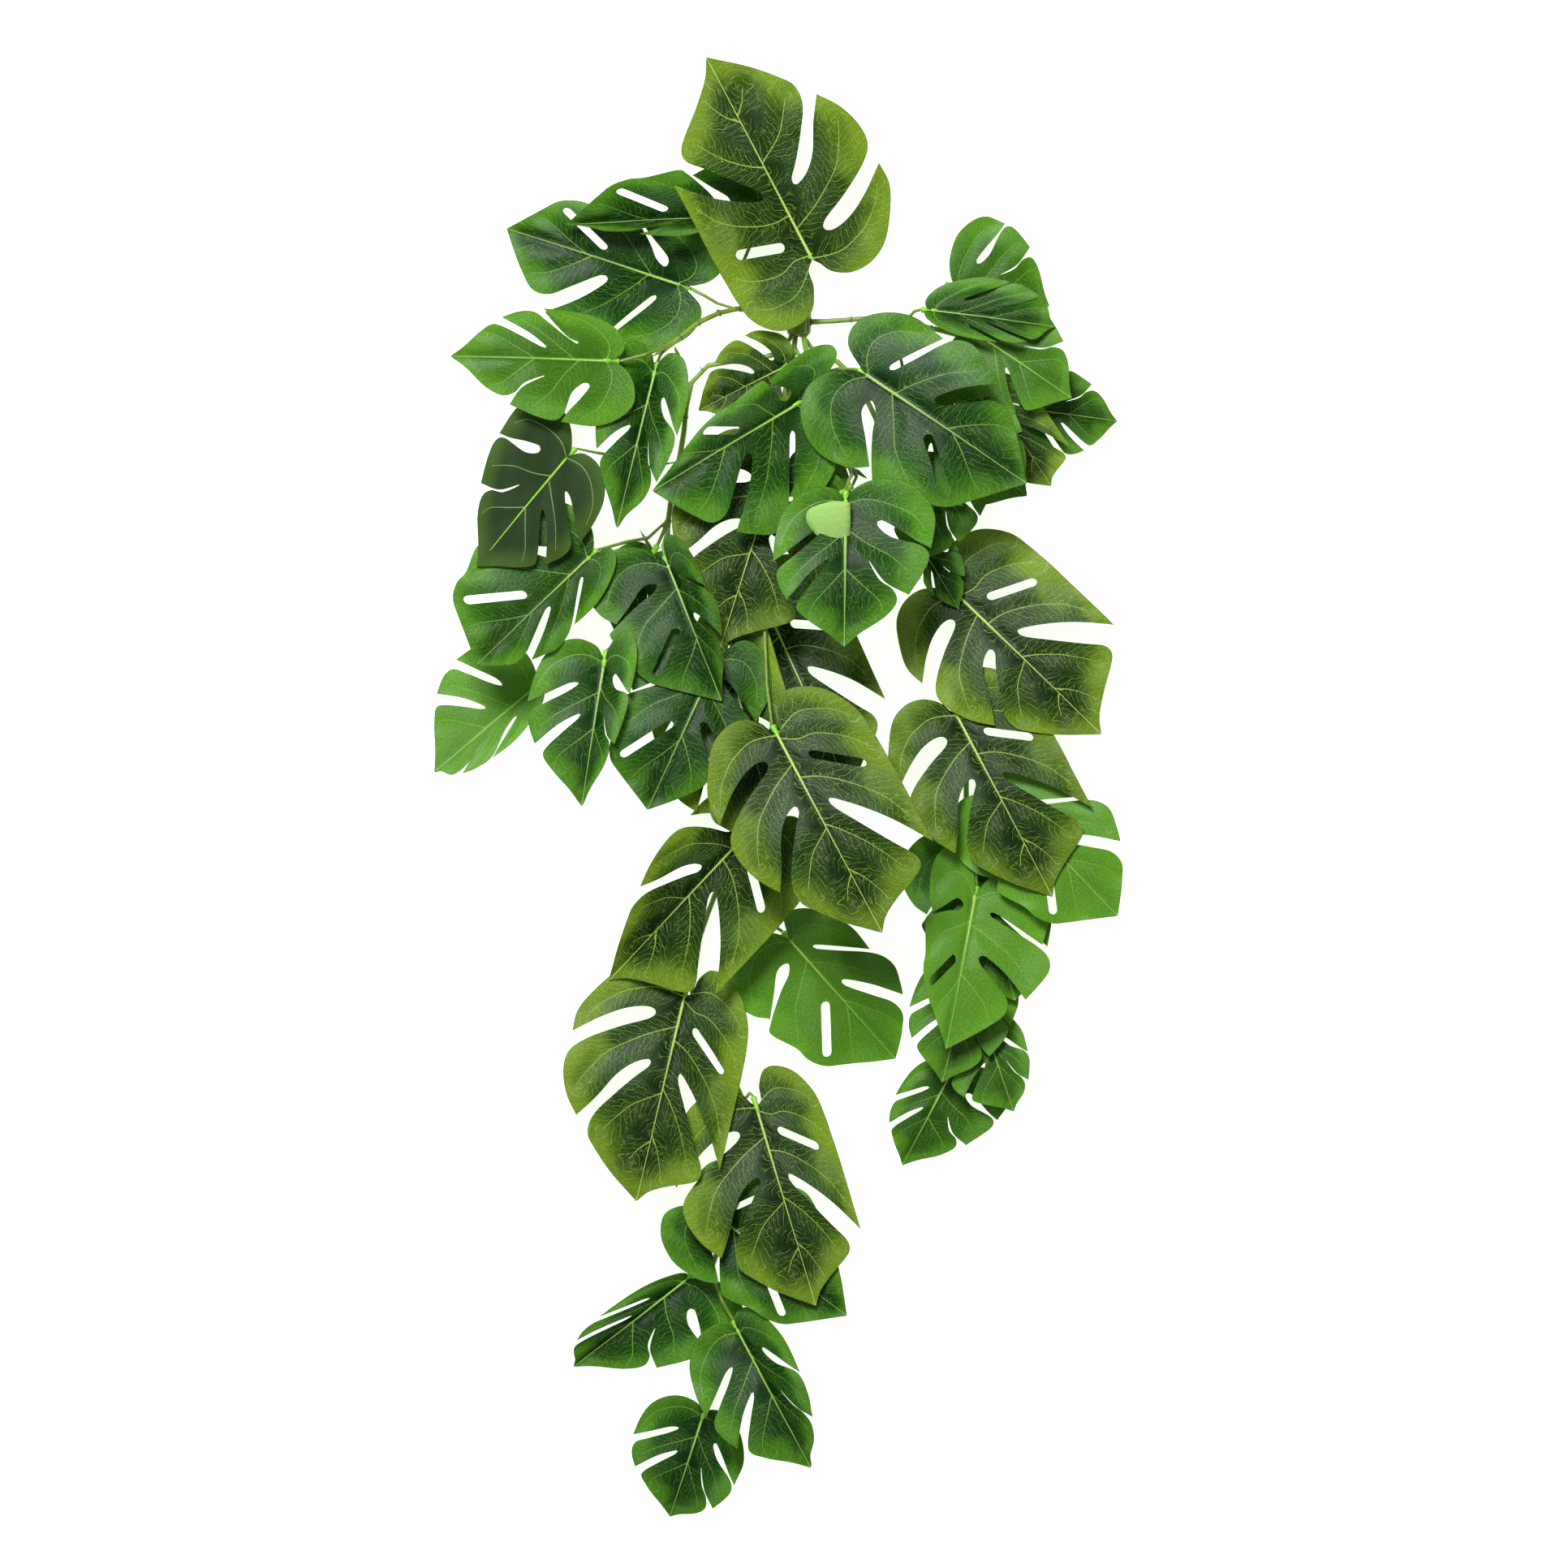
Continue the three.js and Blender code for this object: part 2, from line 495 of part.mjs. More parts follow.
// A bud: a slim spindle from its vine to its tip
function bud({ vine, at, tip }) {
  const start = vineCurves[vine].getPointAt(nearestPlace(vine, at) / PLACES);
  const way = new THREE.Vector3(...tip).sub(start);
  const profile = [[0, 0], [BUD_RADIUS, way.length() * BUD_WAIST], [0, way.length()]];
  const shape = new THREE.LatheGeometry(profile.map((p) => new THREE.Vector2(...p)), STALK_SIDES);
  const up = new THREE.Vector3(0, 1, 0);
  shape.applyQuaternion(new THREE.Quaternion().setFromUnitVectors(up, way.normalize()));
  return shape.translate(start.x, start.y, start.z);
}

const material = (color, roughness) => new THREE.MeshStandardMaterial({ color, roughness, metalness: 0 });
const spray = new THREE.Group();

function addPiece(name, solid, finish) {
  const mesh = new THREE.Mesh(toGeometry(solid), finish);
  mesh.name = name;
  spray.add(mesh);
}

// The crown: a ribbed knob that gathers the vines, with the stub that the spray is held by
function crown() {
  const prism = (radius, sides, length, y) => {
    const shape = new THREE.CylinderGeometry(radius, radius, length, sides);
    shape.rotateY(Math.PI / sides);
    return shape.translate(CROWN.x, y + length / 2, CROWN.radius);
  };
  const apothem = (radius, sides) => radius / Math.cos(Math.PI / sides);
  const knob = prism(apothem(CROWN.radius, CROWN.sides), CROWN.sides, CROWN.length, CROWN.y);
  const stub = prism(STUB.radius, STUB.sides, STUB.length + 2, CROWN.y + CROWN.length - 2);
  return union([toSolid(knob), toSolid(stub)]);
}

// Every solid that is in place, with the node that it belongs to
const laid = [];

function lay(owner, solid) {
  laid.push({ owner, solid, triangles: trianglesOf(toGeometry(solid)) });
}

lay('crown', crown());
for (const [name, curve] of Object.entries(vineCurves)) {
  const steps = Math.max(2, Math.round(curve.getLength() / VINE_STEP));
  lay(name, toSolid(bar(curve, VINE_RADIUS, steps, VINE_SIDES)));
}
BUDS.forEach((one) => lay(one.vine, toSolid(bud(one))));

// Each leaf is raised until it clears the floor and everything laid before it, then its stalk is drawn
for (const leaf of LEAVES) {
  leaf.vine = leaf.name.replace('leaf_', '').replace(/_\d+$/, '');
  const surface = bladeSurface(leaf);
  const collar = collarOf(surface, leaf.stem);
  const low = union([toSolid(bladeGeometry(leaf)), collar.solid]);
  const whole = low.add(collar.guide);
  const upper = trianglesOf(toGeometry(whole));
  const rises = laid.filter((piece) => !leaf.below?.includes(piece.owner))
    .map((piece) => riseNeeded(upper, piece.triangles) + AIR);
  const height = Math.max(-whole.boundingBox().min[2], ...rises);
  const solid = low.translate([0, 0, height]);
  const others = laid.filter((piece) => piece.owner !== leaf.vine).map((piece) => piece.solid);
  lay(leaf.vine, clearStalk(leaf, collar, height, [...others, solid]));
  lay(leaf.name, solid);
  addPiece(leaf.name, solid, material(leaf.die === 'large' ? COLOURS.olive : COLOURS.green, 0.55));
}

for (const name of Object.keys(VINES)) {
  const pieces = laid.filter((piece) => piece.owner === name).map((piece) => piece.solid);
  addPiece(name === 'crown' ? name : `vine_${name}`, union(pieces), material(COLOURS.stem, 0.5));
}

export default spray;
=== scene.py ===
# %% [markdown]
# # An artificial hanging monstera spray
# The real spray is a bunch of fabric leaves on thin plastic vines, made to trail from a shelf. Here it
# lies face up on a pale floor and is seen from straight above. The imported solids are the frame: they fix
# where each leaf and vine lies, and each of them is replaced by a finer piece in the same place.

import math

import bmesh
import bpy
import numpy as np
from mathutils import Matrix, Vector
from mathutils.geometry import convex_hull_2d, delaunay_2d_cdt


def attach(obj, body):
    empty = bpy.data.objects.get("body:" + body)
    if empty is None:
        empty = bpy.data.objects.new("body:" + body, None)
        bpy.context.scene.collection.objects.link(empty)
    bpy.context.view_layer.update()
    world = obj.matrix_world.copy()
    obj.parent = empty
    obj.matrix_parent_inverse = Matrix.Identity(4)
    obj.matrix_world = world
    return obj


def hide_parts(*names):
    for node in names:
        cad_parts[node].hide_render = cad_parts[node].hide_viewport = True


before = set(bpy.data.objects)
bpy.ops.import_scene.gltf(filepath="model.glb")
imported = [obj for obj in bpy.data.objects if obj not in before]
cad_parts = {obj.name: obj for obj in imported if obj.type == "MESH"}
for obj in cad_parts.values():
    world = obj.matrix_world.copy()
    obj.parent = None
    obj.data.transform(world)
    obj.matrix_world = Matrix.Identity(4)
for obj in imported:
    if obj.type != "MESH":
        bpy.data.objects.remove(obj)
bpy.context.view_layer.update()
MM = 0.001
BODY = "root"

# %% [markdown]
# The photo was taken square on, from far off, so a long lens far above the spray gives its view: the
# leaves near the lens are then no larger than the ones below. One pixel is 0.475 mm wide.

# %% The camera
scene = bpy.context.scene
PIXEL = 0.475 * MM
PHOTO_SIDE = 1932
CAMERA_HEIGHT = 4.0
MIDDLE = Vector((4.3 * MM, 4.0 * MM, 30 * MM))  # what lies in the middle of the picture


def added(name, data):
    """A new object in the scene."""
    made = bpy.data.objects.new(name, data)
    scene.collection.objects.link(made)
    return made


lens = bpy.data.cameras.new("camera")
lens.sensor_width = 36
lens.lens = lens.sensor_width * (CAMERA_HEIGHT - MIDDLE.z) / (PHOTO_SIDE * PIXEL)
lens.clip_end = 50
camera = added("camera", lens)
camera.location = (MIDDLE.x, MIDDLE.y, CAMERA_HEIGHT)
scene.camera = camera
print("lens", round(lens.lens, 1), "mm")

# %% [markdown]
# A maker of such leaves cuts them from printed fabric with steel dies, so every leaf of a size has the
# same outline. A die is drawn once, flat, in millimetres: u runs along the midrib from the notch to the
# tip, and v to the left of it. Corners are the places where the knife turns sharply. Veins are the
# printed laterals, from the midrib out.

# %% The three dies
DIES = {
    "large": {
        "length": 133, "half_width": 56,
        "left": [
            (-5, 5), (-15, 7), (-26, 14), (-30, 25), (-27, 38), (-15, 48), (0, 51), (25, 52), (44, 52),
            (76, 52), (61, 38), (51, 25), (44, 12), (45, 9), (50, 10), (61, 19), (75, 31), (84, 39),
            (91, 39), (98, 33), (110, 19), (122, 7)],
        "right": [
            (-4, -3), (-11, -7), (-17, -17), (-17, -30), (-10, -43), (6, -55), (19, -61), (32, -61),
            (21, -47), (13, -33), (10, -21), (12, -15), (17, -17), (25, -34), (35, -51), (44, -60),
            (56, -61), (71, -56), (84, -47), (71, -38), (55, -29), (46, -20), (43, -12), (47, -11),
            (55, -18), (68, -28), (82, -37), (94, -38), (103, -32), (117, -19)],
        "corners": [(76, 52), (32, -61), (84, -47)],
        "hole": ((15, 14), (22, 36), 6),
        "veins": [
            [(0, 0), (-7, 8), (-13, 16), (-15, 24), (-14, 36), (-9, 44)],
            [(3, 0), (4, 10), (1, 19), (2, 29), (6, 39), (12, 46)],
            [(29, 0), (29, 10), (32, 20), (38, 31), (46, 40), (58, 47)],
            [(60, 0), (65, 8), (73, 17), (82, 24), (90, 29)],
            [(90, 0), (96, 6), (105, 11), (111, 13)],
            [(1, 0), (-2, -10), (-3, -19), (-1, -27), (3, -37), (12, -48), (22, -55)],
            [(20, 0), (27, -16), (35, -29), (42, -38), (52, -45), (64, -51)],
            [(63, 0), (72, -15), (81, -23), (91, -30)],
            [(94, 0), (100, -6), (107, -10)]]},
    "medium": {
        "length": 112, "half_width": 48,
        "left": [
            (-6, 2), (-18, 8), (-22, 17), (-19, 28), (-8, 38), (6, 43), (25, 42), (17, 28), (10, 15),
            (9, 11), (12, 11), (19, 24), (26, 38), (33, 46), (43, 48), (56, 43), (66, 38), (52, 26),
            (43, 15), (41, 10), (46, 9), (59, 20), (69, 28), (80, 28), (91, 20), (102, 10)],
        "right": [
            (-9, -3), (-19, -12), (-24, -25), (-19, -39), (-8, -49), (6, -53), (22, -50), (32, -43),
            (21, -31), (10, -19), (11, -11), (17, -15), (23, -27), (35, -45), (41, -49), (60, -43),
            (71, -42), (82, -37), (90, -28), (101, -14)],
        "corners": [(25, 42), (66, 38), (32, -43)],
        "hole": ((51, -11), (76, -30), 6),
        "veins": [
            [(2, 0), (-5, 8), (-7, 19), (0, 30), (12, 37)],
            [(20, 0), (27, 12), (38, 26), (51, 37)],
            [(56, 0), (66, 9), (77, 17), (86, 20)],
            [(2, 0), (-6, -9), (-8, -22), (0, -35), (14, -44)],
            [(18, 0), (28, -13), (40, -28), (56, -38)],
            [(60, 0), (72, -7), (85, -16), (92, -19)]]},
    "small": {
        "length": 92, "half_width": 42,
        "left": [
            (-6, 3), (-11, 11), (-12, 21), (-9, 31), (1, 40), (15, 45), (34, 43), (29, 36), (20, 26),
            (14, 18), (17, 16), (25, 23), (32, 38), (39, 42), (49, 39), (62, 32), (53, 20), (39, 12),
            (51, 17), (58, 24), (66, 26), (75, 20), (84, 8)],
        "right": [
            (-7, -6), (-8, -17), (-2, -28), (9, -36), (24, -40), (39, -41), (29, -29), (20, -18),
            (19, -13), (26, -19), (36, -30), (44, -38), (53, -38), (63, -33), (47, -21), (37, -10),
            (40, -10), (51, -18), (63, -26), (69, -27), (76, -20), (84, -9)],
        "corners": [(34, 43), (62, 32), (39, -41), (63, -33)],
        "hole": None,
        "veins": [
            [(2, 0), (0, 10), (4, 22), (12, 34), (22, 40)],
            [(17, 0), (27, 10), (37, 23), (49, 33)],
            [(43, 0), (53, 8), (64, 17), (71, 19)],
            [(2, 0), (0, -10), (4, -21), (15, -32), (28, -37)],
            [(20, 0), (28, -9), (40, -22), (52, -32)],
            [(43, 0), (53, -8), (64, -17), (71, -20)]]},
}
print("dies:", {name: len(die["veins"]) for name, die in DIES.items()})

# %% [markdown]
# A leaf needs one even net of small triangles, so that it can bow, fold and carry a raised midrib. The
# net is made flat: rows of points fill the outline, and the midrib and the veins are edges of the net,
# so that a crease can follow them. A constrained Delaunay triangulation joins the points. Cutting a
# ready grid with a knife would leave slivers at the margin.

# %% Smooth lines through a few points
NET = 2.6  # distance between two points of the net, in mm
MARGIN_STEP = 2.0  # distance between two points of the margin, in mm


def smooth_run(points, step):
    """A curve through the points, with a point about every step."""
    p = [np.array(q, float) for q in points]
    p = [2 * p[0] - p[1], *p, 2 * p[-1] - p[-2]]
    line = []
    for a, b, c, d in zip(p, p[1:], p[2:], p[3:]):
        count = max(1, round(float(np.linalg.norm(c - b)) / step))
        for t in np.arange(count) / count:
            line.append(0.5 * (2 * b + (c - a) * t + (2 * a - 5 * b + 4 * c - d) * t**2
                               + (3 * b - a - 3 * c + d) * t**3))
    return np.array([*line, p[-2]])


def die_outline(die):
    """The margin of the blade, once round, sharp only at the notch, the tip and the corners."""
    tip = (die["length"], 0)
    loop = [(0, 0), *die["left"], tip, *reversed(die["right"]), (0, 0)]
    sharp = [0, *(loop.index(c) for c in [*die["corners"], tip]), len(loop) - 1]
    sharp.sort()
    runs = [smooth_run(loop[a:b + 1], MARGIN_STEP)[:-1] for a, b in zip(sharp, sharp[1:])]
    return np.concatenate(runs)


def slot_loop(start, end, width, count=8):
    """The round-ended slot, as a loop of points."""
    a, b = np.array(start, float), np.array(end, float)
    angle = math.atan2(*(b - a)[::-1])
    turns = np.linspace(math.pi / 2, 3 * math.pi / 2, count)
    ends = [(a, turns), (b, turns + math.pi)]
    loop = [c + width / 2 * np.array((math.cos(angle + t), math.sin(angle + t)))
            for c, part in ends for t in part]
    sides = zip(loop, loop[1:] + loop[:1])
    return np.concatenate([smooth_run((p, q), MARGIN_STEP)[:-1] for p, q in sides])


# %% Where a point lies against a loop or a line
def inside(points, loop):
    """Which of the points lie inside the loop."""
    x, y = points[:, 0:1], points[:, 1:2]
    ax, ay = loop[:, 0], loop[:, 1]
    bx, by = np.roll(ax, -1), np.roll(ay, -1)
    crosses = (ay > y) != (by > y)
    rise = np.where(by == ay, 1, by - ay)
    return (crosses & (x < (bx - ax) * (y - ay) / rise + ax)).sum(axis=1) % 2 == 1


def to_line(points, line):
    """For each point: its distance to the line, how far along it that is, and on which side."""
    best = np.full(len(points), 1e9)
    place = np.zeros(len(points))
    side = np.ones(len(points))
    run = 0.0
    for a, b in zip(line, line[1:]):
        way = b - a
        size = float(np.linalg.norm(way))
        t = np.clip((points - a) @ way / size**2, 0, 1)
        gap = points - a - t[:, None] * way
        distance = np.linalg.norm(gap, axis=1)
        nearer = distance < best
        best[nearer] = distance[nearer]
        place[nearer] = (run + t * size)[nearer]
        side[nearer] = np.where(way[0] * gap[:, 1] - way[1] * gap[:, 0] > 0, 1, -1)[nearer]
        run += size
    return best, place, side, run


# %% The net of each die
RIB_WIDTH = (1.6, 0.4)  # half the width of the midrib at the notch and at the tip, in mm


def rib_half_width(u, length):
    """Half the width of the midrib, which tapers to the tip."""
    share = np.clip(u / length, 0, 1)
    return RIB_WIDTH[0] + (RIB_WIDTH[1] - RIB_WIDTH[0]) * share


def die_net(die):
    """Fills the die with an even net and measures each of its points."""
    length = die["length"]
    outline = die_outline(die)
    holes = [slot_loop(*die["hole"])] if die["hole"] else []
    steps = np.arange(0, length + 1e-6, length / round(length / NET))
    midrib = np.stack([steps, 0 * steps], axis=1)
    beside = steps[1:-1]
    flanks = [np.stack([beside, side * rib_half_width(beside, length)], axis=1) for side in (1, -1)]
    veins = [smooth_run(vein, NET) for vein in die["veins"]]
    flat, faces = filled(outline, holes, [midrib, *flanks, *veins])
    return flat, faces, veins, outline


def filled(outline, holes, lines):
    """Fills an outline with an even net that has the given lines among its edges."""
    low, high = outline.min(axis=0), outline.max(axis=0)
    rows = np.arange(low[1], high[1], NET * math.sqrt(3) / 2)
    columns = np.arange(low[0], high[0], NET)
    grid = np.array([(u + (k % 2) * NET / 2, v) for k, v in enumerate(rows) for u in columns])
    closed = [np.vstack([loop, loop[:1]]) for loop in (outline, *holes)]
    clear = np.min([to_line(grid, line)[0] for line in [*closed, *lines]], axis=0) > NET * 0.5
    grid = grid[clear & inside(grid, outline)]

    points, edges = [], []
    for loop in (outline, *holes):
        edges += [(len(points) + k, len(points) + (k + 1) % len(loop)) for k in range(len(loop))]
        points += list(loop)
    for line in lines:
        edges += [(len(points) + k, len(points) + k + 1) for k in range(len(line) - 1)]
        points += list(line)
    points += list(grid)
    made = delaunay_2d_cdt([Vector(p) for p in points], edges, [], 0, 0.05)
    flat = np.array([p[:] for p in made[0]])
    faces = np.array(made[2])
    middle = flat[faces].mean(axis=1)
    keep = inside(middle, outline)
    for hole in holes:
        keep &= ~inside(middle, hole)
    a, b, c = (flat[faces[:, k]] for k in range(3))
    turned = (b - a)[:, 0] * (c - a)[:, 1] - (b - a)[:, 1] * (c - a)[:, 0]
    faces[turned < 0] = faces[turned < 0][:, ::-1]
    faces = faces[keep & (np.abs(turned) > 1e-4)]
    used, faces = np.unique(faces, return_inverse=True)
    return flat[used], faces.reshape(-1, 3)


def rim_edges(faces):
    """The edges that only one triangle has, in that triangle's direction."""
    every = {(int(f[k]), int(f[(k + 1) % 3])) for f in faces for k in range(3)}
    return [(a, b) for a, b in every if (b, a) not in every]


for name, die in DIES.items():
    die["points"], die["faces"], laterals, outline = die_net(die)
    die["rim"] = sorted(rim_edges(die["faces"]))
    rows = [to_line(die["points"], line) for line in laterals]
    nearest = np.argmin([row[0] for row in rows], axis=0)
    pick = lambda k: np.array([row[k] for row in rows])[nearest, range(len(nearest))]
    die["vein_gap"], die["vein_run"], die["vein_side"] = pick(0), pick(1), pick(2)
    ranked = np.sort([row[0] for row in rows], axis=0)
    die["to_next"] = ranked[1] - ranked[0]
    die["vein_share"] = die["vein_run"] / np.array([row[3] for row in rows])[nearest]
    hull = outline[convex_hull_2d([Vector(p) for p in outline])]
    die["from_edge"] = to_line(die["points"], np.vstack([hull, hull[:1]]))[0]
    print(name, "net:", len(die["points"]), "points,", len(die["faces"]), "triangles")

# %% [markdown]
# Each leaf of the spray is one of the three dies, laid between two places: where its notch and its tip
# lie in plan. The halves may be foreshortened (spread), slanted towards the tip (sweep) and folded up
# from the midrib. These are the sizes that the solids have, so the fine leaf lies where the solid does.
# A lift moves three of them a little, because a fine leaf is not as flat as its solid and would cut the
# next one. The tone makes this leaf darker than its die's print below 0 and lighter above. Below 0 it is
# partly painted shade, for leaves that lie in the shade of others, and over 1 it adds a painted sheen.

# %% The leaves
PITCH, FOLD = 7, 5  # how far a blade rises to its tip and its halves from the midrib, in degrees
BOW, CUP = 5, 5  # how far its middle rises and its margins drop, in mm
LEAVES = {
    "long_12": dict(die="small", pitch=-6, base=(-43, -367), tip=(-63, -428), spread=(1, 1.25),
                    sweep=(0.35, -0.1), tone_shade_sheen=0.0),
    "long_10": dict(die="small", base=(-54, -288), tip=(-119, -338), spread=(1.05, 0.4), sweep=(-0.4, 0.5),
                    fold=(6, 20), tone_shade_sheen=0.0),
    "long_11": dict(die="small", base=(-23, -316), tip=(20, -396), spread=(0.5, 1), sweep=(0.1, -0.05),
                    fold=(25, 6), tone_shade_sheen=0.1),
    "long_9": dict(die="medium", base=(-38, -247), tip=(41, -307), spread=(1, 0.8), lift=-0.8, tone_shade_sheen=0.0),
    "long_8": dict(die="large", base=(-12, -185), tip=(23, -301), spread=(0.8, 1.05), sweep=(0.35, 0.05),
                   tone_shade_sheen=0.0),
    "long_6": dict(die="medium", pitch=-6, base=(8, -88), tip=(70, -158), spread=(0.9, 1.1), sweep=(0.4, 0),
                   tone_shade_sheen=0.75),
    "long_7": dict(die="large", base=(-54, -120), tip=(-82, -240), spread=(0.9, 1.05), sweep=(0.5, 0.1),
                   tone_shade_sheen=0.05),
    "long_5": dict(die="large", pitch=-6, base=(-13, -20), tip=(-98, -111), spread=(1.05, 0.55),
                   sweep=(0.35, -0.15), fold=(6, 20), tone_shade_sheen=0.0),
    "lower_right_10": dict(die="small", pitch=-6, base=(102, -167), tip=(74, -221), spread=(1.3, 0.85),
                           sweep=(-0.4, 0), tone_shade_sheen=0.3),
    "lower_right_9": dict(die="small", base=(122, -137), tip=(139, -188), spread=(0.75, 1.3), sweep=(0.15, 0),
                          tone_shade_sheen=0.35),
    "lower_right_8": dict(die="small", base=(113, -107), tip=(97, -171), tone_shade_sheen=0.4),
    "lower_right_6": dict(die="medium", base=(113, -38), tip=(140, -123), spread=(0.9, 1), sweep=(0.4, 0),
                          tone_shade_sheen=0.3),
    "lower_right_7": dict(die="medium", base=(116, -62), tip=(99, -151), spread=(1.3, 0.65), sweep=(0, -0.35),
                          tone_shade_sheen=1.0),
    "lower_right_5": dict(die="medium", base=(135, -6), tip=(199, -73), sweep=(0.25, 0.05), lift=-0.35,
                          tone_shade_sheen=0.9),
    "lower_right_4": dict(die="large", base=(105, 45), tip=(161, -62), spread=(0.95, 0.9), sweep=(0.35, -0.1),
                          lift=0.4, tone_shade_sheen=-0.45),
    "lower_right_3": dict(die="large", base=(105, 116), tip=(190, 33), spread=(1.1, 0.95), sweep=(0.25, -0.1),
                          tone_shade_sheen=0.0),
    "long_2": dict(die="large", base=(-6, 108), tip=(45, -5), spread=(0.85, 1), sweep=(0.15, 0), tone_shade_sheen=-0.4),
    "long_3": dict(die="large", base=(-29, 80), tip=(2, -33), spread=(0.6, 1), sweep=(0, 0.25), fold=(20, 6),
                   tone_shade_sheen=0.0),
    "lower_left_9": dict(die="medium", base=(-35, 76), tip=(-75, -11), sweep=(0.05, 0.25), tone_shade_sheen=-0.6),
    "long_4": dict(die="large", base=(0, 33), tip=(61, -82), spread=(1, 0.9), sweep=(0.45, 0), tone_shade_sheen=-0.35),
    "long_1": dict(die="large", base=(0, 188), tip=(-33, 83), spread=(1.1, 1), sweep=(0.2, -0.1), tone_shade_sheen=-0.6),
    "lower_left_4": dict(die="small", base=(-73, 138), tip=(-94, 91), tone_shade_sheen=-0.3),
    "lower_left_8": dict(die="medium", base=(-63, 131), tip=(-32, 52), spread=(0.5, 1.25), sweep=(0, -0.1),
                         fold=(25, 6), tone_shade_sheen=-0.5),
    "lower_left_6": dict(die="small", base=(-143, 60), tip=(-201, 11), spread=(0.45, 1.25),
                         sweep=(0.45, -0.25), fold=(25, 6), tone_shade_sheen=1.25),
    "lower_left_7": dict(die="small", base=(-100, 76), tip=(-113, -9), spread=(0.45, 1.05),
                         sweep=(-0.35, -0.15), fold=(12, 5), tone_shade_sheen=0.1),
    "lower_left_5": dict(die="medium", base=(-109, 136), tip=(-174, 73), spread=(0.65, 1.25),
                         sweep=(0.4, 0.25), tone_shade_sheen=0.2),
    "lower_left_2": dict(die="small", base=(-121, 195), tip=(-174, 130), spread=(-1, -1), sweep=(-0.4, 0),
                         tone_shade_sheen=-1.0),
    "upper_left_1": dict(die="medium", pitch=0, base=(-57, 298), tip=(-159, 331), spread=(1.1, 0.7),
                         sweep=(0.2, 0.1), tone_shade_sheen=-0.1),
    "upper_left_4": dict(die="small", base=(-71, 245), tip=(-93, 153), spread=(0.5, 0.65), sweep=(0, -0.35),
                         fold=(20, 12), tone_shade_sheen=-0.1),
    "upper_left_3": dict(die="small", base=(-97, 250), tip=(-189, 252), spread=(0.85, 0.7), sweep=(-0.15, 0),
                         tone_shade_sheen=0.5),
    "lower_right_2": dict(die="small", pitch=-6, base=(83, 146), tip=(107, 106), spread=(0.8, 0.5),
                          tone_shade_sheen=-0.2),
    "lower_right_1": dict(die="small", pitch=-6, base=(99, 190), tip=(81, 133), tone_shade_sheen=0.3),
    "upper_right_5": dict(die="small", pitch=-6, base=(146, 225), tip=(201, 218), tone_shade_sheen=0.2),
    "upper_right_4": dict(die="large", base=(125, 234), tip=(161, 179), spread=(0.85, 1), sweep=(0.6, 0),
                          tone_shade_sheen=0.0),
    "upper_right_1": dict(die="small", pitch=-6, base=(106, 297), tip=(161, 286), spread=(1.6, 1), tone_shade_sheen=0.4),
    "upper_right_3": dict(die="small", base=(115, 270), tip=(173, 230), tone_shade_sheen=0.5),
    "upper_right_2": dict(die="small", base=(91, 282), tip=(163, 272), spread=(0.65, 0.45), sweep=(0.5, 0.3),
                          fold=(6, 25), tone_shade_sheen=0.1),
    "upper_right_6": dict(die="small", base=(85, 222), tip=(146, 172), tone_shade_sheen=0.4),
    "long_0": dict(die="large", base=(6, 250), tip=(-46, 223), tone_shade_sheen=-0.2),
    "short_4": dict(die="small", base=(38, 174), tip=(4, 152), tone_shade_sheen=-0.1),
    "short_1": dict(die="medium", base=(13, 226), tip=(-72, 174), spread=(1.35, 0.5), sweep=(0.35, -0.5),
                    tone_shade_sheen=0.1),
    "short_2": dict(die="medium", base=(52, 242), tip=(145, 178), tone_shade_sheen=-0.3),
    "short_3": dict(die="small", base=(40, 168), tip=(39, 83), spread=(1.25, 1.1), sweep=(-0.1, 0), tone_shade_sheen=0.1),
    "upper_left_2": dict(die="medium", base=(-18, 338), tip=(-124, 332), spread=(0.25, 0.6), fold=(35, 20),
                         tone_shade_sheen=-0.1),
    "crown_1": dict(die="large", base=(21, 311), tip=(-41, 428), stem=(-0.35, -0.75, -0.55), tone_shade_sheen=0.1),
}
print(len(LEAVES), "leaves")

# %% [markdown]
# The shape of a blade is a rule, so it is written as one: u and v give a height that pitches to the tip,
# folds at the midrib, bows up in the middle and cups at the margins. The height of the whole leaf over
# the floor is read from its solid.

# %% The shape of a blade
SOLID_THICKNESS = 0.8  # of the blade of the solid, in mm
SAME_PLACE = 0.05  # how near in plan a corner of the solid is the same one, in mm


def surface(leaf, flat):
    """Where flat points of the die lie, in mm, before the leaf is raised."""
    die = DIES[leaf["die"]]
    base, tip = np.array(leaf["base"], float), np.array(leaf["tip"], float)
    reach = np.linalg.norm(tip - base)
    ahead, size = (tip - base) / reach, reach / die["length"]
    u, v = flat[:, 0], flat[:, 1]
    half = np.where(v > 0, 0, 1)
    out = np.abs(v)
    pick = lambda key, plain: np.array(leaf.get(key, plain), float)[half]
    along = size * (u + out * pick("sweep", (0, 0)))
    across = size * v * pick("spread", (1, 1))
    bow = BOW * np.sin(math.pi * np.maximum(0, u / die["length"]))**2 - CUP * (v / die["half_width"])**2
    fold = np.sin(np.radians(pick("fold", (FOLD, FOLD))))
    height = size * (u * math.sin(math.radians(leaf.get("pitch", PITCH))) + out * fold + bow)
    return np.stack([base[0] + along * ahead[0] - across * ahead[1],
                     base[1] + along * ahead[1] + across * ahead[0], height], axis=1)


def facing(leaf, flat):
    """The direction of the printed face at each flat point."""
    du, dv = np.array([0.5, 0]), np.array([0, 0.5])
    along = surface(leaf, flat + du) - surface(leaf, flat - du)
    across = surface(leaf, flat + dv) - surface(leaf, flat - dv)
    normal = np.cross(along, across)
    return normal / np.linalg.norm(normal, axis=1)[:, None]


